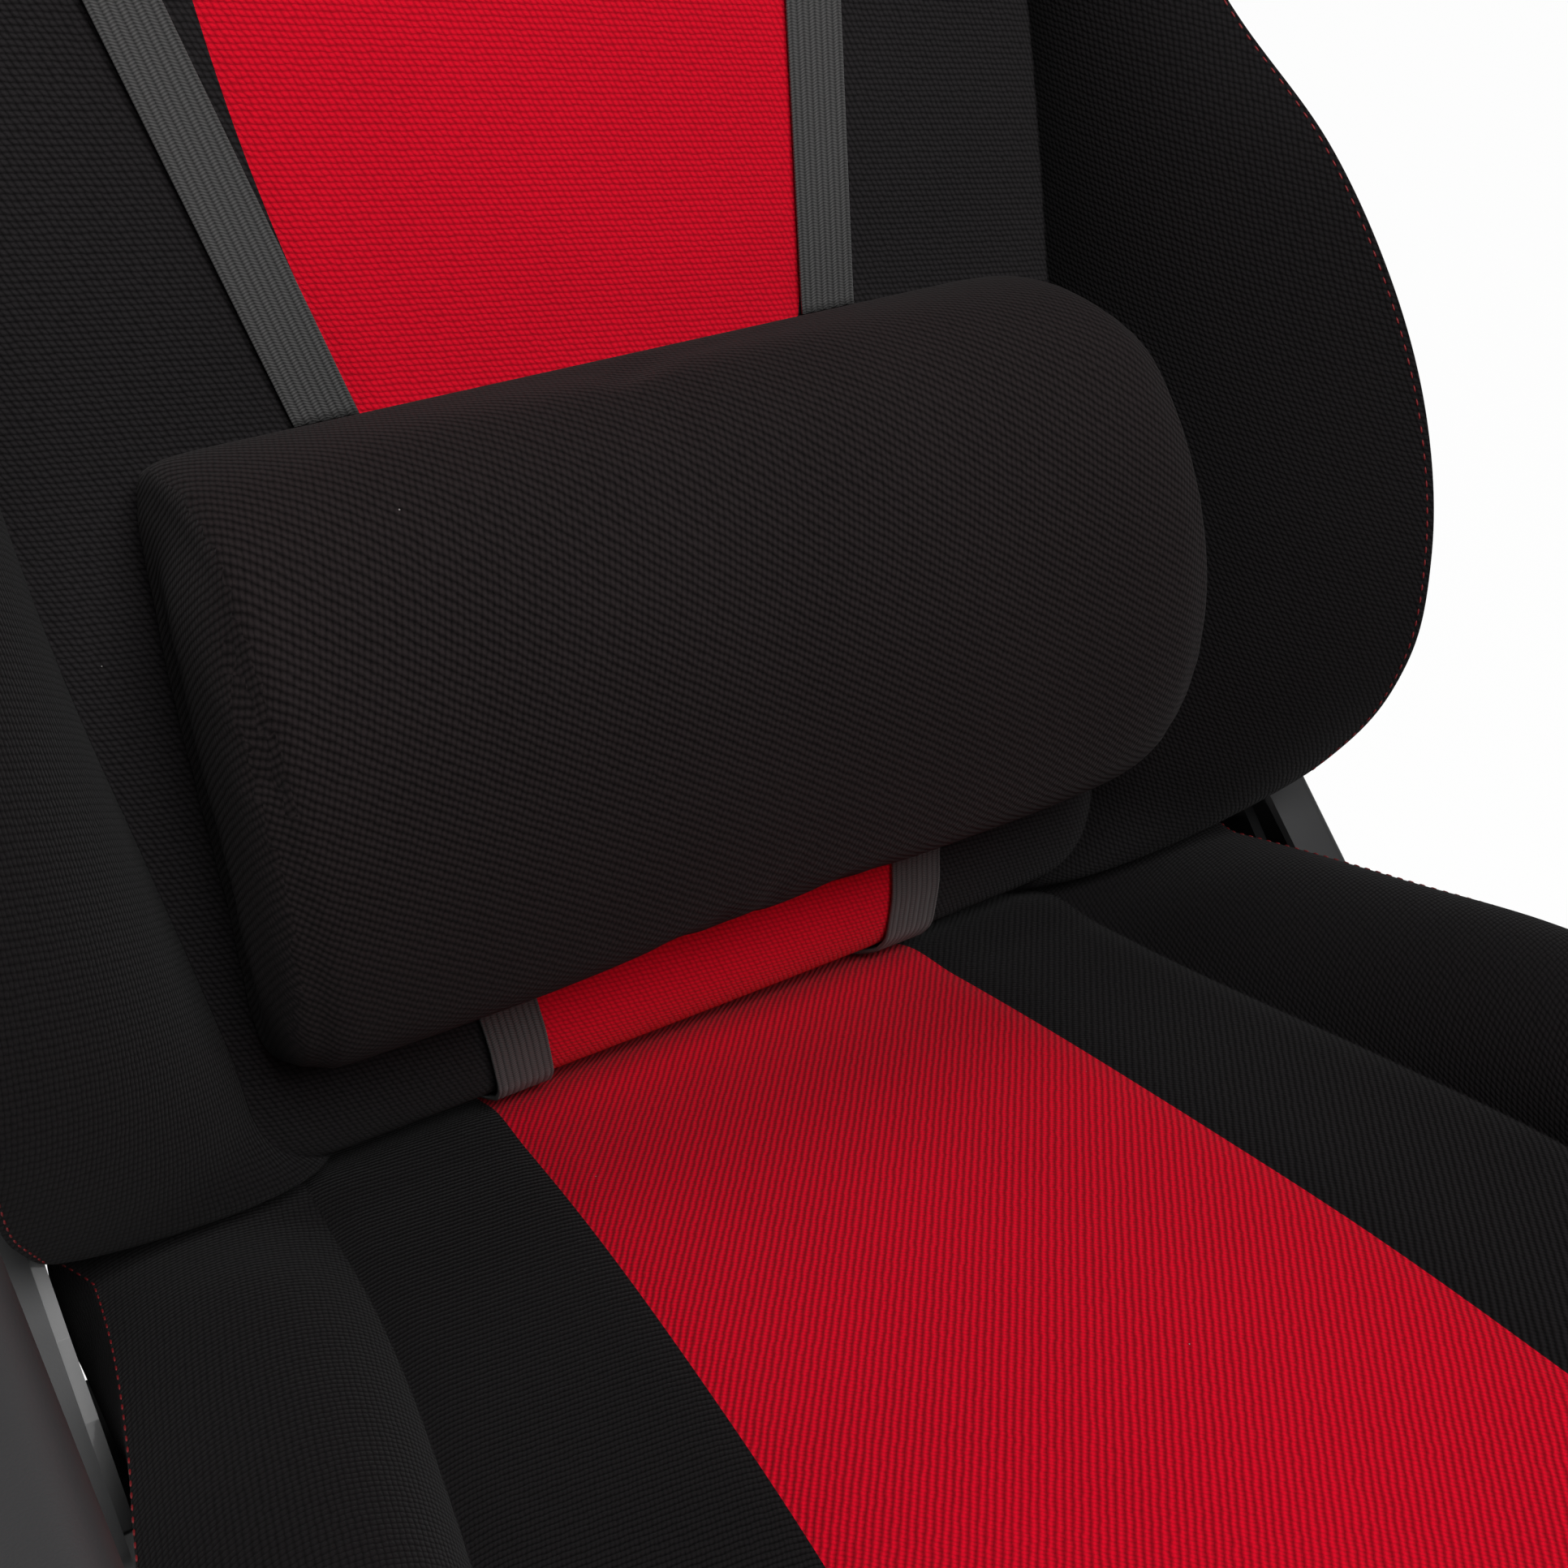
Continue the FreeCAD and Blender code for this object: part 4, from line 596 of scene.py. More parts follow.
def webbing_material(name, colour, width, ribs):
    """Ribbed elastic: each rib is a column of slanted threads, and neighbours slant the other way. Its colour is
    painted shade in the grooves and painted highlight on the ribs and threads.
    """
    material, tree, shader = new_material(name)
    source = weave_map(tree)
    split = add_node(tree, "SeparateXYZ", {"Vector": source})
    column = maths(tree, "MULTIPLY", split.outputs["X"], ribs / width)
    ridge = maths(tree, "ABSOLUTE", maths(tree, "SINE", maths(tree, "MULTIPLY", column, math.pi)))
    slant = maths(tree, "PINGPONG", column, 1.0)
    row = maths(tree, "MULTIPLY_ADD", slant, 0.00085, split.outputs["Y"])
    wander = cloud(tree, source, 900.0, 1.0)
    row = maths(tree, "MULTIPLY_ADD", wander, 0.0003, row)
    thread = maths(tree, "SINE", maths(tree, "MULTIPLY", row, math.tau / 0.00105))
    thread = maths(tree, "MULTIPLY_ADD", thread, 0.5, 0.5)
    height = maths(tree, "MULTIPLY_ADD", thread, 0.6, ridge)
    share = remap(tree, height, 0.2, 1.5, 0.0, 1.0)
    # Painted shade in the grooves and painted highlight on the ribs and threads
    tint = mix_colour(tree, share, rgba(colour, 0.14), rgba(colour, 1.9))
    set_inputs(tree, shader, {"Base Color": tint, "Roughness": 0.75, "Sheen Weight": 0.15})
    bump(tree, shader, height, 0.8, 0.0003)
    return material


def thread_material(name, colour):
    material, tree, shader = new_material(name)
    source = object_coordinates(tree)
    twist = cloud(tree, source, 1800.0, 2.0)
    tint = mix_colour(tree, twist, rgba(colour, 0.6), rgba(colour, 1.3))
    set_inputs(tree, shader, {"Base Color": tint, "Roughness": 0.6})
    bump(tree, shader, twist, 0.5, 0.0001)
    return material


def surface_material(name, colour, roughness, grain, relief, metallic=0.0, coat=0.0, tone=0.12):
    """Moulded, painted or plated finish: fine grain, slow tone changes and a little uneven gloss."""
    material, tree, shader = new_material(name)
    source = object_coordinates(tree)
    fine = cloud(tree, source, grain, 3.0)
    slow = cloud(tree, source, 9.0, 4.0)
    tint = mix_colour(tree, slow, rgba(colour, 1.0 - tone), rgba(colour, 1.0 + tone))
    gloss = remap(tree, slow, 0.3, 0.7, roughness * 0.85, roughness * 1.15)
    set_inputs(tree, shader, {"Base Color": tint, "Roughness": gloss, "Metallic": metallic, "Coat Weight": coat})
    bump(tree, shader, fine, 0.6, relief)
    return material


def pad_material():
    return surface_material("Moulded pad skin", colours().soft_pad, 0.62, 1600.0, 0.00008)


def hard_materials():
    """The finish of each slot that CAD nodes keep."""
    return {
        "gloss_black_steel": surface_material("Gloss black steel", (0.004, 0.004, 0.0044), 0.34, 400.0, 0.00001,
                                              coat=0.1),
        "black_steel": surface_material("Black powder coat", (0.018, 0.018, 0.019), 0.42, 1400.0, 0.00006),
        "bright_steel": surface_material("Bright plated steel", (0.62, 0.62, 0.64), 0.2, 300.0, 0.000008,
                                         metallic=1.0, tone=0.05),
        "grey_plastic": surface_material("Matte grey plastic", (0.042, 0.042, 0.043), 0.55, 1100.0, 0.00007),
        "nylon": surface_material("Black nylon", (0.02, 0.02, 0.021), 0.48, 800.0, 0.00005),
        "wheel_nylon": surface_material("Wheel nylon", (0.028, 0.028, 0.03), 0.4, 700.0, 0.00004),
        "soft_pad": pad_material(),
    }


# Shared by seat and backrest

def centre_points(parts, red, fold, level, dip, strength, fold_depth):
    """A section's hollow middle out to the fold, drawn in by the seams at the red panel and at the fold."""
    points = []
    for share in eased(parts[0])[:-1]:
        x = red * share
        points.append((x, level - dip * (x / fold) ** 2 - strength * groove((red - x) * MM) / MM))
    for share in eased(parts[1])[:-1]:
        x = red + (fold - red) * share
        sunk = groove((x - red) * MM) / MM + fold_depth * groove((fold - x) * MM) / MM
        points.append((x, level - dip * (x / fold) ** 2 - strength * sunk))
    return points


def panel_of(parts, half, column):
    """0 on the red panel, 1 between it and the fold, 2 outside the fold."""
    offset = column - half if column >= half else half - 1 - column
    if offset < parts[0]:
        return 0
    return 1 if offset < parts[0] + parts[1] else 2


def column_line(rows, column):
    """Points down one column of a grid, with the direction that looks away from the row's middle."""
    return [row[column] for row in rows], [(row[column] - middle_of(row)).normalized() for row in rows]


def add_stitching(name, rows, half, seam, body, slot):
    """A line of red stitches along the seam on each side."""
    thread = thread_material("Red thread " + name, colours().stitch)
    for side, side_name in ((-1, "left"), (1, "right")):
        points, normals = column_line(rows, half + side * seam)
        stitches = stitch_line(name + "_stitching_" + side_name, points, normals, thread)
        finish_piece(stitches, body, slot)


# Seat

def seat_red_edge(s):
    """Half width of the seat's red panel."""
    return 94.7 + 0.0284 * s + 0.0001 * s * s


# Faces across the red panel, the black panel, the bolster, the side and the underside
SEAT_PARTS = (12, 9, 22, 12, 5)
SEAT_FOLD_DEPTH = 1.6


def seat_half_section(s):
    """Right half of the seat's section at a depth, in millimetres: distance from the middle and height."""
    drop, valley_x, crest_x, crest_h, seam_x, seam_h = track(SEAT_STATIONS, s)
    size = sizes()
    base = size.junction[2] / MM + 0.0858 * s - 0.0003 * s * s - drop
    # The rear of the seat fills the room up to the brackets beside it
    rear = clamp((100.0 - s) / 40.0)
    seam_x += 12.5 * clamp((34.0 - s) / 40.0)
    inset, bulge = 8.0, 3.0 + rear * (BRACKET_ROOM_X - 3.0 - seam_x)
    # The cloth is pulled flat towards the rear end, under the backrest
    pull = clamp((s - SEAT_STATIONS[0][0]) / 60.0)
    dip = 4.0 * pull
    red = min(seat_red_edge(s), valley_x - 30)
    low = size.seat_underside / MM
    points = centre_points(SEAT_PARTS, red, valley_x, base, dip, pull, SEAT_FOLD_DEPTH)
    valley = (valley_x, base - dip - SEAT_FOLD_DEPTH * pull * size.seam_depth / MM)
    seam = (seam_x, base + seam_h)
    points += arc_through(valley, (crest_x, base + crest_h), seam, eased(SEAT_PARTS[2]))[:-1]
    middle = (seam_x + bulge, 0.5 * (low + seam[1]))
    points += arc_through(seam, middle, (seam_x - inset, low), eased(SEAT_PARTS[3]))[:-1]
    points += [((seam_x - inset) * (1 - share), low) for share in eased(SEAT_PARTS[4])]
    return points


def seat_row(s):
    y = sizes().junction[1] - s * MM
    row = []
    for x, z in whole_loop(seat_half_section(s)):
        point = Vector((x * MM, y, z * MM))
        if z > sizes().seat_underside / MM + 25:
            point.z += ruffle(point, 0.0009, 9.0)
        row.append(point)
    return row


def seat_materials():
    black, red = colours().seat_black, colours().seat_red
    return [
        knit_material("Ribbed red cloth", red, 0.0014, 0.0024, math.radians(52), 0.35, rib=0.7, gap_shade=0.45,
                      thread=1.5),
        knit_material("Ribbed black cloth right", black, 0.0014, 0.0024, math.radians(52), 0.35, rib=0.7),
        knit_material("Ribbed black cloth left", black, 0.0014, 0.0022, math.radians(-10), 0.35, rib=0.6),
        knit_material("Bolster cloth", black, 0.0023, 0.0021, math.radians(12)),
    ]


def seat_panel(column, row):
    """Red in the middle, ribbed black beside it and plain knit on the bolsters."""
    half = sum(SEAT_PARTS)
    panel = panel_of(SEAT_PARTS, half, column)
    if panel == 2:
        return 3
    return 2 if panel == 1 and column < half else panel


class CHAIR_OT_seat(bpy.types.Operator):
    """Makes the seat cushion and the stitching along its outer seams"""
    bl_idname = "chair.seat"
    bl_label = "Seat cushion"

    def execute(self, context):
        rows = [seat_row(s) for s in spread(SEAT_STATIONS, 6.0)]
        piece = make_piece("seat_cushion_cover", skin(closed_ends(rows, 0.002), seat_panel), seat_materials())
        add_subdivision(piece, 1)
        finish_piece(piece, "seat", "seat_fabric", "seat_cushion")
        add_stitching("seat", rows[6:-6], sum(SEAT_PARTS), sum(SEAT_PARTS[:3]) - 1, "seat", "seat_fabric")
        return {"FINISHED"}


# Backrest

# Faces across the red panel, the black panel, the wing, its outside, the rear corner and the rear
BACK_PARTS = (12, 11, 22, 16, 3, 8)
BACK_HALF = sum(BACK_PARTS) + 2
BACK_FOLD_DEPTH = 1.5


def back_half_section(v):
    """Right half of the backrest's section at a height, in millimetres: distance from the middle and depth."""
    centre, fold_u, edge_u, edge_w, rear_u, rear_w, red = track(BACK_STATIONS, v)
    depth = centre - rear_w
    pull = clamp((v - BACK_STATIONS[0][0]) / 40.0)
    dip = min(5.0, 0.12 * depth) * pull
    fold_w = centre - dip
    side_w = min(15.0, rear_w + 0.55 * (edge_w - rear_w))
    run_u, run_w = edge_u - fold_u, edge_w - fold_w
    chord = math.hypot(run_u, run_w)
    bulge = min(5.0 + 0.08 * chord, 0.3 * chord)
    wing = (0.5 * (fold_u + edge_u) - bulge * run_w / chord, 0.5 * (fold_w + edge_w) + bulge * run_u / chord)
    out_u, out_w = edge_u - rear_u, edge_w - side_w
    out_chord = math.hypot(out_u, out_w)
    out_bulge = min(4.0, 0.1 * out_chord)
    outer = (0.5 * (rear_u + edge_u) + out_bulge * out_w / out_chord,
             0.5 * (side_w + edge_w) - out_bulge * out_u / out_chord)
    soft = pull * min(1.0, depth / 60.0)
    points = centre_points(BACK_PARTS, red, fold_u, centre, dip, soft, BACK_FOLD_DEPTH)
    fold = (fold_u, fold_w - BACK_FOLD_DEPTH * soft * sizes().seam_depth / MM)
    points += arc_through(fold, wing, (edge_u, edge_w), eased(BACK_PARTS[2]))[:-1]
    points += arc_through((edge_u, edge_w), outer, (rear_u, side_w), eased(BACK_PARTS[3]))[:-1]
    corner = min(10.0, 0.3 * (side_w - rear_w))
    points += [(rear_u, side_w + (rear_w + corner - side_w) * i / BACK_PARTS[4]) for i in range(BACK_PARTS[4])]
    points.append((rear_u, rear_w + corner))
    points.append((rear_u - 0.3 * corner, rear_w + 0.3 * corner))
    points += [((rear_u - corner) * (1 - share), rear_w) for share in eased(BACK_PARTS[5])]
    return points


def back_row(v):
    row = []
    for u, w in whole_loop(back_half_section(v)):
        point = back_point(u, v, w)
        swell = ruffle(point, 1.0, 8.0) if w > -40 else 0.0
        row.append(back_point(u, v, w + swell))
    return row


def back_panel(column, row):
    """Red in the middle, black beside it, and the wings' black cloth outside, made darker as painted shade."""
    return panel_of(BACK_PARTS, BACK_HALF, column)


def harness_cutter(side, grow, front, rear):
    """A rounded block that opens the cushion for one harness bezel, from front to rear depth."""
    u, v, width, height, corner = HARNESS_HOLE
    bm = bmesh.new()
    bmesh.ops.create_cube(bm, size=MM)
    bmesh.ops.scale(bm, verts=bm.verts, vec=(width + 2 * grow, front - rear, height + 2 * grow))
    upright = [edge for edge in bm.edges if abs((edge.verts[0].co - edge.verts[1].co).normalized().y) > 0.9]
    bmesh.ops.bevel(bm, geom=upright, offset=(corner + grow) * MM, segments=8, profile=0.5, affect="EDGES",
                    material=-1)
    place = Matrix.Translation(back_point(u * side, v, 0.5 * (front + rear)))
    bmesh.ops.transform(bm, verts=bm.verts, matrix=place @ Matrix.Rotation(-sizes().back_lean, 4, "X"))
    return make_piece("harness_cutter", bm, [])


def open_harness_holes(piece):
    """Cuts the room that each bezel and its flanges take out of a cloth piece."""
    for side in (-1, 1):
        for grow, front, rear in HARNESS_CUTS:
            cutter = harness_cutter(side, grow, front, rear)
            modifier = piece.modifiers.new("Opening", "BOOLEAN")
            modifier.object = cutter
            modifier.solver = "EXACT"
            apply_modifiers(piece)
            bpy.data.objects.remove(cutter)


class CHAIR_OT_backrest(bpy.types.Operator):
    """Makes the backrest cushion and the stitching along its wings"""
    bl_idname = "chair.backrest"
    bl_label = "Backrest"

    def execute(self, context):
        black = knit_material("Back black cloth", colours().black_cloth, 0.0023, 0.002, math.radians(8))
        red = knit_material("Back red cloth", colours().red_cloth, 0.0023, 0.002, math.radians(8),
                            gap_shade=0.55, thread=1.35)
        # The wing material is the black cloth made darker, as painted shade on the wings
        wing = knit_material("Shaded wing cloth", colours().shaded_wing_cloth, 0.0023, 0.0021, math.radians(20))
        rows = [back_row(v) for v in spread(BACK_STATIONS, 7.0)]
        piece = make_piece("back_cushion_cover", skin(closed_ends(rows, 0.001), back_panel), [red, black, wing])
        add_subdivision(piece, 1)
        apply_modifiers(piece)
        open_harness_holes(piece)
        finish_piece(piece, "backrest", "back_fabric", "back_cushion")
        add_stitching("wing", rows[10:-8], BACK_HALF, sum(BACK_PARTS[:3]) - 2, "backrest", "back_fabric")
        return {"FINISHED"}


class CHAIR_OT_rear_cover(bpy.types.Operator):
    """Makes the cloth cover on the back of the backrest"""
    bl_idname = "chair.rear_cover"
    bl_label = "Rear cover"

    def execute(self, context):
        cloth = knit_material("Rear cover cloth", colours().black_cloth, 0.0021, 0.0019, 0.0)
        keys = [v for v in spread(BACK_STATIONS, 9.0) if REAR_COVER_V[0] <= v <= REAR_COVER_V[1]]
        rows = []
        for v in keys:
            values = track(BACK_STATIONS, v)
            half, front = values[4] - 5.0, values[5] - 0.5
            crown = min(REAR_COVER_CROWN, 0.2 * half)
            loop = []
            for share in eased(30):
                u = half * (2 * share - 1)
                lift = crown * (1 - (u / half) ** 2) ** 0.6
                loop.append((u, front - lift))
            loop += [(half * (1 - 2 * share), front) for share in eased(10)][1:]
            rows.append([back_point(u, v, w) for u, w in loop])
        piece = make_piece("back_rear_cover_cloth", skin(closed_ends(rows, 0.001)), [cloth])
        add_subdivision(piece, 1)
        apply_modifiers(piece)
        open_harness_holes(piece)
        finish_piece(piece, "backrest", "back_fabric", "back_rear_cover")
        return {"FINISHED"}


# Lumbar cushion

def lumbar_scale(share):
    """Size of the section at a share of the half length, against its size in the middle."""
    table = LUMBAR_LEFT_END if share < 0 else LUMBAR_RIGHT_END
    if table[-1][0] < share < 0 or 0 <= share < table[0][0]:
        return 1.0
    return track(table, share)[0]


def lumbar_loop(share):
    scale = lumbar_scale(share)
    half = sizes().lumbar_half_width / MM
    points = [Vector(point) for point in LUMBAR_OUTLINE]
    middle = Vector(LUMBAR_MIDDLE)
    points = [middle + (point - middle) * scale for point in points]
    loop = []
    for start in (0, 2, 4, 6):
        a, b, c = points[start], points[start + 1], points[(start + 2) % 8]
        loop += arc_through(a, b, c, eased(14))[:-1]
    loop.append(tuple(points[0]))
    if share > 0:
        return [back_point(share * half, v, w) for v, w in loop]
    # The left end is drawn in, and more so towards the top
    drawn_in = [LEFT_END_IN + LEFT_END_SLANT * (v - LUMBAR_MIDDLE[0]) for v, w in loop]
    return [back_point(share * (half - near), v, w) for (v, w), near in zip(loop, drawn_in)]


def lay_weave(piece):
    """Lays the weave map over a round form: along the cushion and round it, and flat on its ends."""
    centre = back_point(0.0, *LUMBAR_MIDDLE)
    mesh = piece.data
    weave = mesh.uv_layers.new(name="weave")
    for polygon in mesh.polygons:
        flat_end = abs(polygon.normal.x) > 0.75
        for index in polygon.loop_indices:
            place = mesh.vertices[mesh.loops[index].vertex_index].co - centre
            if flat_end:
                weave.data[index].uv = (place.y, place.z)
            else:
                around = math.atan2(place.z, -place.y)
                weave.data[index].uv = (place.x, around * 0.078)


def pull_lumbar_seams(piece):
    """Draws the cloth in along the seam that joins each end panel."""
    size = sizes()
    normals = [vert.normal.copy() for vert in piece.data.vertices]
    half = size.lumbar_half_width
    for vert, normal in zip(piece.data.vertices, normals):
        share, strength = LEFT_SEAM if vert.co.x < 0 else RIGHT_SEAM
        vert.co -= normal * strength * groove(abs(vert.co.x) - half * share)


class CHAIR_OT_lumbar_cushion(bpy.types.Operator):
    """Makes the stuffed lumbar cushion with a short cloth simulation"""
    bl_idname = "chair.lumbar_cushion"
    bl_label = "Lumbar cushion"

    def execute(self, context):
        cloth = knit_material("Cushion cloth", colours().cushion_cloth, 0.0019, 0.0025, math.radians(38), 0.4,
                              rib=0.4, gap_shade=0.15, thread=2.3)
        shares = [-1.0, -0.985, -0.965, -0.93, -0.89] + [-0.85 + 1.63 * i / 34 for i in range(35)]
        shares += [0.82, 0.87, 0.91, 0.94, 0.965, 0.98, 1.0]
        rows = [lumbar_loop(share) for share in shares]
        piece = make_piece("lumbar_cushion_cover", skin(closed_ends(rows, 0.002)), [cloth])
        behind = back_point(0.0, 160.0, 22.0)
        out = (back_point(0.0, 160.0, 40.0) - behind).normalized()

        def freedom(point):
            return clamp((point - behind).dot(out) / 0.03)

        inflate(piece, 0.005, 4.0, 0.006, freedom)
        pull_lumbar_seams(piece)
        lay_weave(piece)
        add_subdivision(piece, 1)
        finish_piece(piece, "backrest", "cushion_fabric", "lumbar_cushion")
        return {"FINISHED"}


# Straps

def rounded_route(points, radii, step):
    """Points along a route whose corners are arcs, about one step apart."""
    route = [Vector(points[0])]
    corners = [Vector(point) for point in points]
    for index in range(1, len(corners) - 1):
        before = (corners[index] - corners[index - 1]).normalized()
        after = (corners[index + 1] - corners[index]).normalized()
        turn = before.angle(after)
        reach = radii[index - 1] * math.tan(turn / 2)
        enter, leave = corners[index] - before * reach, corners[index] + after * reach
        count = max(3, math.ceil(radii[index - 1] * turn / step))
        for i in range(count + 1):
            t = i / count
            route.append(enter * (1 - t) ** 2 + corners[index] * 2 * t * (1 - t) + leave * t ** 2)
    route.append(corners[-1])
    fine = [route[0]]
    for start, end in zip(route, route[1:]):
        count = max(1, math.ceil((end - start).length / step))
        fine += [start.lerp(end, i / count) for i in range(1, count + 1)]
    return fine


def strap_piece(name, points, radii, centre_u, slope, pivot_v, material):
    """A ribbed band along a route in the side view, which leans sideways by slope about pivot_v."""
    size = sizes()
    route = rounded_route(points, radii, 3.0)
    half, ribs = 0.5 * size.strap_width / MM, size.strap_ribs
    columns = ribs * 4
    rows = []
    for index, place in enumerate(route):
        before, after = route[max(index - 1, 0)], route[min(index + 1, len(route) - 1)]
        along = (after - before).normalized()
        normal = Vector((-along.y, along.x))
        row = []
        for column in range(columns + 1):
            share = column / columns
            ridge = 0.16 * abs(math.sin(math.pi * ribs * share)) - 0.1
            spot = place + normal * ridge
            u = centre_u + slope * (place.y - pivot_v) + half * (2 * share - 1)
            row.append(back_point(u, spot.y, -spot.x))
        rows.append(row)
    piece = make_piece(name, skin(rows), [material])
    add_thickness(piece, size.strap_thickness)
    return piece


class CHAIR_OT_straps(bpy.types.Operator):
    """Makes the four stretches of elastic strap that hold the lumbar cushion"""
    bl_idname = "chair.straps"
    bl_label = "Elastic straps"

    def execute(self, context):
        material = webbing_material("Grey elastic", colours().strap, sizes().strap_width, sizes().strap_ribs)
        slot_high, slot_low = UPPER_STRAP[-1][1], LOWER_STRAP[-1][1]
        first = None
        for index, side, name in ((0, -1, "left"), (1, 1, "right")):
            slope = UPPER_STRAP_SLOPE[index]
            upper = strap_piece("upper_strap_" + name, UPPER_STRAP, UPPER_RADII, UPPER_STRAP_U[index], slope,
                                UPPER_STRAP_V, material)
            finish_piece(upper, "backrest", "elastic_webbing")
            meet = UPPER_STRAP_U[index] + slope * (slot_high - UPPER_STRAP_V)
            low_slope = (meet - side * LOWER_STRAP_U) / (slot_low - LOWER_STRAP_V)
            lower = strap_piece("lower_strap_" + name, LOWER_STRAP, LOWER_RADII, side * LOWER_STRAP_U, low_slope,
                                LOWER_STRAP_V, material)
            finish_piece(lower, "backrest", "elastic_webbing")
            first = first or upper
        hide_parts("lumbar_straps")
        return {"FINISHED"}


class CHAIR_OT_seat_webbing(bpy.types.Operator):
    """Makes the elastic belts stretched over the seat frame"""
    bl_idname = "chair.seat_webbing"
    bl_label = "Seat webbing"

    def execute(self, context):
        low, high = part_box("seat_webbing")
        width, count = 0.055, 5
        pitch = (high.y - low.y - width) / (count - 1)
        material = webbing_material("Seat webbing", (0.02, 0.02, 0.021), width, 18)
        for index in range(count):
            start = low.y + index * pitch
            rows = []
            for i in range(41):
                x = low.x + (high.x - low.x) * i / 40
                rows.append([Vector((x, start + width * j / 12, 0.5 * (low.z + high.z))) for j in range(13)])
            belt = make_piece("seat_belt_%d" % (index + 1), skin(rows), [material])
            add_thickness(belt, high.z - low.z)
            finish_piece(belt, "seat", "elastic_webbing")
        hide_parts("seat_webbing")
        return {"FINISHED"}


# Armrest pads

def pad_ring(x0, x1, y0, y1, z, corner):
    """A rounded rectangle of points at one height."""
    ring = []
    corners = ((x1 - corner, y1 - corner, 0), (x0 + corner, y1 - corner, 90),
               (x0 + corner, y0 + corner, 180), (x1 - corner, y0 + corner, 270))
    for x, y, start in corners:
        for i in range(9):
            angle = math.radians(start + 90 * i / 8)
            ring.append(Vector((x + corner * math.cos(angle), y + corner * math.sin(angle), z)))
    ring.append(ring[0].copy())
    return ring


class CHAIR_OT_armrest_pads(bpy.types.Operator):
    """Makes the two soft armrest pads with their raised rim"""
    bl_idname = "chair.armrest_pads"
    bl_label = "Armrest pads"

    def execute(self, context):
        material = pad_material()
        # Each level: height share, inset and corner radius in millimetres
        levels = ((0.0, 9.0, 20.0), (0.0, 3.0, 22.0), (0.06, 1.0, 23.0), (0.18, 0.0, 24.0), (0.55, 0.0, 24.0),
                  (0.8, 0.6, 23.5), (0.93, 2.4, 22.0), (0.985, 5.0, 20.0), (1.0, 8.0, 18.0), (0.99, 12.0, 15.0),
                  (0.975, 18.0, 12.0), (0.97, 28.0, 8.0), (0.975, 38.0, 4.0))
        for name in ("left", "right"):
            low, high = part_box("armrest_pad_" + name)
            rows = []
            for share, inset, corner in levels:
                i = inset * MM
                z = low.z + (high.z - low.z) * share
                rows.append(pad_ring(low.x + i, high.x - i, low.y + i, high.y - i, z, corner * MM))
            piece = make_piece("armrest_pad_cover_" + name, skin(closed_ends(rows, 0.0)), [material])
            add_subdivision(piece, 2)
            finish_piece(piece, "arm_pad_" + name, "soft_pad", "armrest_pad_" + name)
        return {"FINISHED"}


class CHAIR_OT_lining(bpy.types.Operator):
    """Makes the thin lining stretched under the seat frame"""
    bl_idname = "chair.lining"
    bl_label = "Seat lining"

    def execute(self, context):
        cloth = knit_material("Lining", (0.012, 0.012, 0.012), 0.0012, 0.0012, 0.0)
        source = frame["nodes"]["seat_under_cover"]
        bm = bmesh.new()
        bm.from_mesh(source.data)
        bmesh.ops.remove_doubles(bm, verts=bm.verts, dist=1e-5)
        weave = bm.loops.layers.uv.new("weave")
        for face in bm.faces:
            for loop in face.loops:
                loop[weave].uv = (loop.vert.co.x, loop.vert.co.y)
        one_side = 0.5 * sum(face.calc_area() for face in bm.faces)
        piece = make_piece("seat_lining", bm, [cloth], smooth=False)
        finish_piece(piece, "seat", "lining_fabric", "seat_under_cover")
        return {"FINISHED"}


class CHAIR_OT_spring(bpy.types.Operator):
    """Makes the coil of the tilt spring, filling the height of its CAD part"""
    bl_idname = "chair.spring"
    bl_label = "Tilt spring"

    def execute(self, context):
        low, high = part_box("tension_spring")
        middle = 0.5 * (low + high)
        wire = sizes().spring_wire / 2
        radius = 0.5 * (high.x - low.x) - wire
        bottom, top = low.z + wire, high.z - wire
        steps = SPRING_TURNS * TURN_STEPS
        rows = []
        for i in range(steps + 1):
            angle = math.tau * i / TURN_STEPS
            out = Vector((math.cos(angle), math.sin(angle), 0.0))
            # The first and the last turn lie flat
            rise = clamp((i - TURN_STEPS) / (steps - 2 * TURN_STEPS))
            centre = Vector((middle.x, middle.y, bottom + (top - bottom) * rise)) + radius * out
            rows.append([centre + wire * (math.cos(turn) * out + math.sin(turn) * Vector((0.0, 0.0, 1.0)))
                         for turn in (math.tau * k / 8 for k in range(8))])
        steel = surface_material("Spring steel", (0.3, 0.3, 0.31), 0.35, 900.0, 0.00004, metallic=1.0)
        piece = make_piece("tilt_spring_coil", skin(closed_ends(rows, 0.0)), [steel])
        finish_piece(piece, "lift", "bright_steel", "tension_spring")
        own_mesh(piece)
        return {"FINISHED"}


class CHAIR_OT_finishes(bpy.types.Operator):
    """Gives every hard piece its finish"""
    bl_idname = "chair.finishes"
    bl_label = "Finishes"

    def execute(self, context):
        finishes = hard_materials()
        for part in frame["record"]["subparts"]:
            piece = frame["nodes"][part["node"]]
            material = finishes.get(part["material_slot"])
            if material is None:
                continue
            piece.data.materials.clear()
            piece.data.materials.append(material)
        return {"FINISHED"}


# Stage

# Each lamp's name, place and power in watts, and the size of all
LAMPS = (("Key", (0.0, -1.6, 2.1), 48.0), ("Fill", (-1.7, -1.3, 1.3), 1.2), ("Top", (0.1, 0.3, 2.6), 12.0))
LAMP_SIZE = 1.2
WHITE = (1.0, 1.0, 1.0, 1.0)

# How much the world lights the chair, and how white the floor looks to the camera
WORLD_LIGHT = 0.06
FLOOR_GLOW = 1.02
FLOOR_GLOW_SHARE = 0.96

# Where every lamp points
LAMP_TARGET = (0.0, 0.1, 0.6)


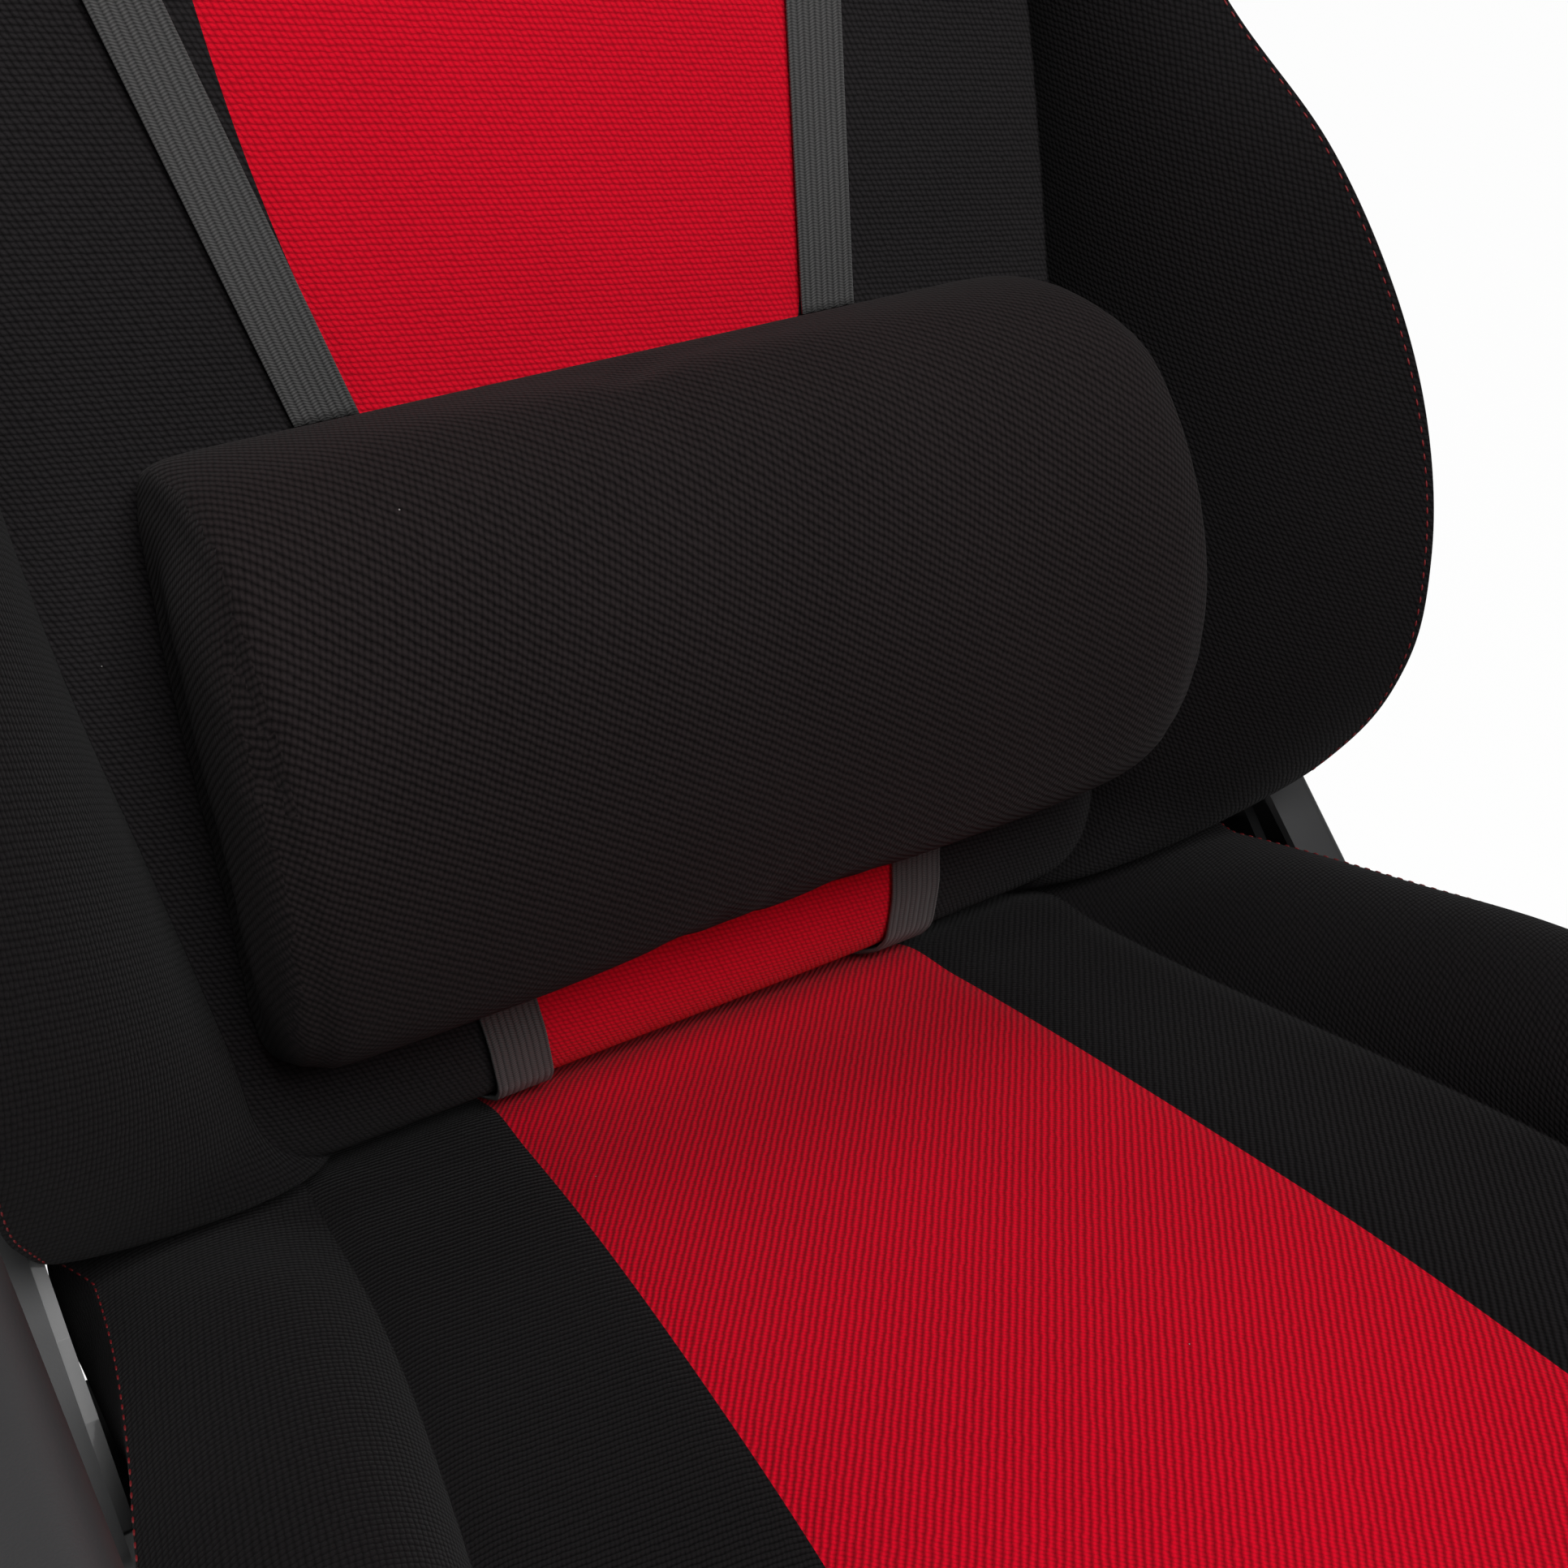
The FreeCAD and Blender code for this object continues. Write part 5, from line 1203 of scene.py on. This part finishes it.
def add_lamp(name, place, power):
    lamp = bpy.data.lights.new(name, "AREA")
    lamp.shape = "SQUARE"
    lamp.size = LAMP_SIZE
    lamp.energy = power
    obj = add_object(name, lamp)
    obj.location = place
    direction = Vector(LAMP_TARGET) - Vector(place)
    obj.rotation_euler = direction.to_track_quat("-Z", "Y").to_euler()


def floor_material(colour):
    """Pale floor that looks white to the camera."""
    material, tree, shader = new_material("Pale floor")
    set_inputs(tree, shader, {"Base Color": rgba(colour), "Roughness": 0.7})
    path = add_node(tree, "LightPath")
    glow = add_node(tree, "Emission", {"Color": WHITE, "Strength": FLOOR_GLOW})
    seen = maths(tree, "MAXIMUM", path.outputs["Is Camera Ray"], path.outputs["Is Glossy Ray"])
    share = maths(tree, "MULTIPLY", seen, FLOOR_GLOW_SHARE)
    mixed = add_node(tree, "MixShader", {0: share, 1: shader.outputs["BSDF"], 2: glow.outputs[0]})
    output = next(node for node in tree.nodes if node.type == "OUTPUT_MATERIAL")
    tree.links.new(mixed.outputs[0], output.inputs["Surface"])
    return material


class CHAIR_OT_stage(bpy.types.Operator):
    """Makes the floor, the lamps, the world and the camera"""
    bl_idname = "chair.stage"
    bl_label = "Stage"

    def execute(self, context):
        scene = context.scene
        view = scene.chair_view
        bm = bmesh.new()
        bmesh.ops.create_grid(bm, x_segments=1, y_segments=1, size=8.0)
        floor = make_piece("floor", bm, [floor_material(view.floor_colour)], smooth=False)
        for name, place, power in LAMPS:
            add_lamp(name, place, power)
        world = bpy.data.worlds.new("Studio")
        world.use_nodes = True
        tree = world.node_tree
        tree.nodes.clear()
        path = add_node(tree, "LightPath")
        seen = maths(tree, "MAXIMUM", path.outputs["Is Camera Ray"], path.outputs["Is Transmission Ray"])
        strength = maths(tree, "MULTIPLY_ADD", seen, 1.0 - WORLD_LIGHT, WORLD_LIGHT)
        back = add_node(tree, "Background", {"Color": WHITE, "Strength": strength})
        add_node(tree, "OutputWorld", {"Surface": back.outputs[0]})
        scene.world = world
        scene.view_settings.view_transform = "Standard"
        camera = add_object("Camera", bpy.data.cameras.new("Camera"))
        camera.data.sensor_width = 36.0
        camera.data.lens = view.lens
        camera.data.clip_start = 0.02
        look = Vector((math.sin(view.yaw) * math.cos(view.pitch), math.cos(view.yaw) * math.cos(view.pitch),
                       math.sin(view.pitch)))
        level = Vector((math.cos(view.yaw), -math.sin(view.yaw), 0.0))
        upward = level.cross(look)
        right = level * math.cos(view.roll) + upward * math.sin(view.roll)
        up = upward * math.cos(view.roll) - level * math.sin(view.roll)
        turn = Matrix((right, up, -look)).transposed().to_4x4()
        camera.matrix_world = Matrix.Translation(view.place) @ turn
        scene.camera = camera
        return {"FINISHED"}


class CHAIR_PT_panel(bpy.types.Panel):
    """Lists the chair's pieces in the sidebar"""
    bl_label = "Racing style chair"
    bl_idname = "CHAIR_PT_panel"
    bl_space_type = "VIEW_3D"
    bl_region_type = "UI"
    bl_category = "Chair"

    def draw(self, context):
        for operator in OPERATORS:
            self.layout.operator(operator.bl_idname)
        for group in (context.scene.chair_sizes, context.scene.chair_colours, context.scene.chair_view):
            box = self.layout.box()
            for key in group.__annotations__:
                box.prop(group, key)


OPERATORS = (CHAIR_OT_seat, CHAIR_OT_backrest, CHAIR_OT_rear_cover, CHAIR_OT_lumbar_cushion, CHAIR_OT_straps,
             CHAIR_OT_seat_webbing, CHAIR_OT_lining, CHAIR_OT_armrest_pads, CHAIR_OT_spring,
             CHAIR_OT_finishes, CHAIR_OT_stage)
CLASSES = (ChairSizes, ChairColours, ViewSettings) + OPERATORS + (CHAIR_PT_panel,)


def register():
    for cls in CLASSES:
        bpy.utils.register_class(cls)
    bpy.types.Scene.chair_sizes = bpy.props.PointerProperty(type=ChairSizes)
    bpy.types.Scene.chair_colours = bpy.props.PointerProperty(type=ChairColours)
    bpy.types.Scene.chair_view = bpy.props.PointerProperty(type=ViewSettings)


def unregister():
    del bpy.types.Scene.chair_sizes
    del bpy.types.Scene.chair_colours
    del bpy.types.Scene.chair_view
    for cls in reversed(CLASSES):
        bpy.utils.unregister_class(cls)


def main():
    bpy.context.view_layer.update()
    register()
    for operator in OPERATORS:
        group, name = operator.bl_idname.split(".")
        getattr(getattr(bpy.ops, group), name)()


if __name__ == "__main__":
    main()
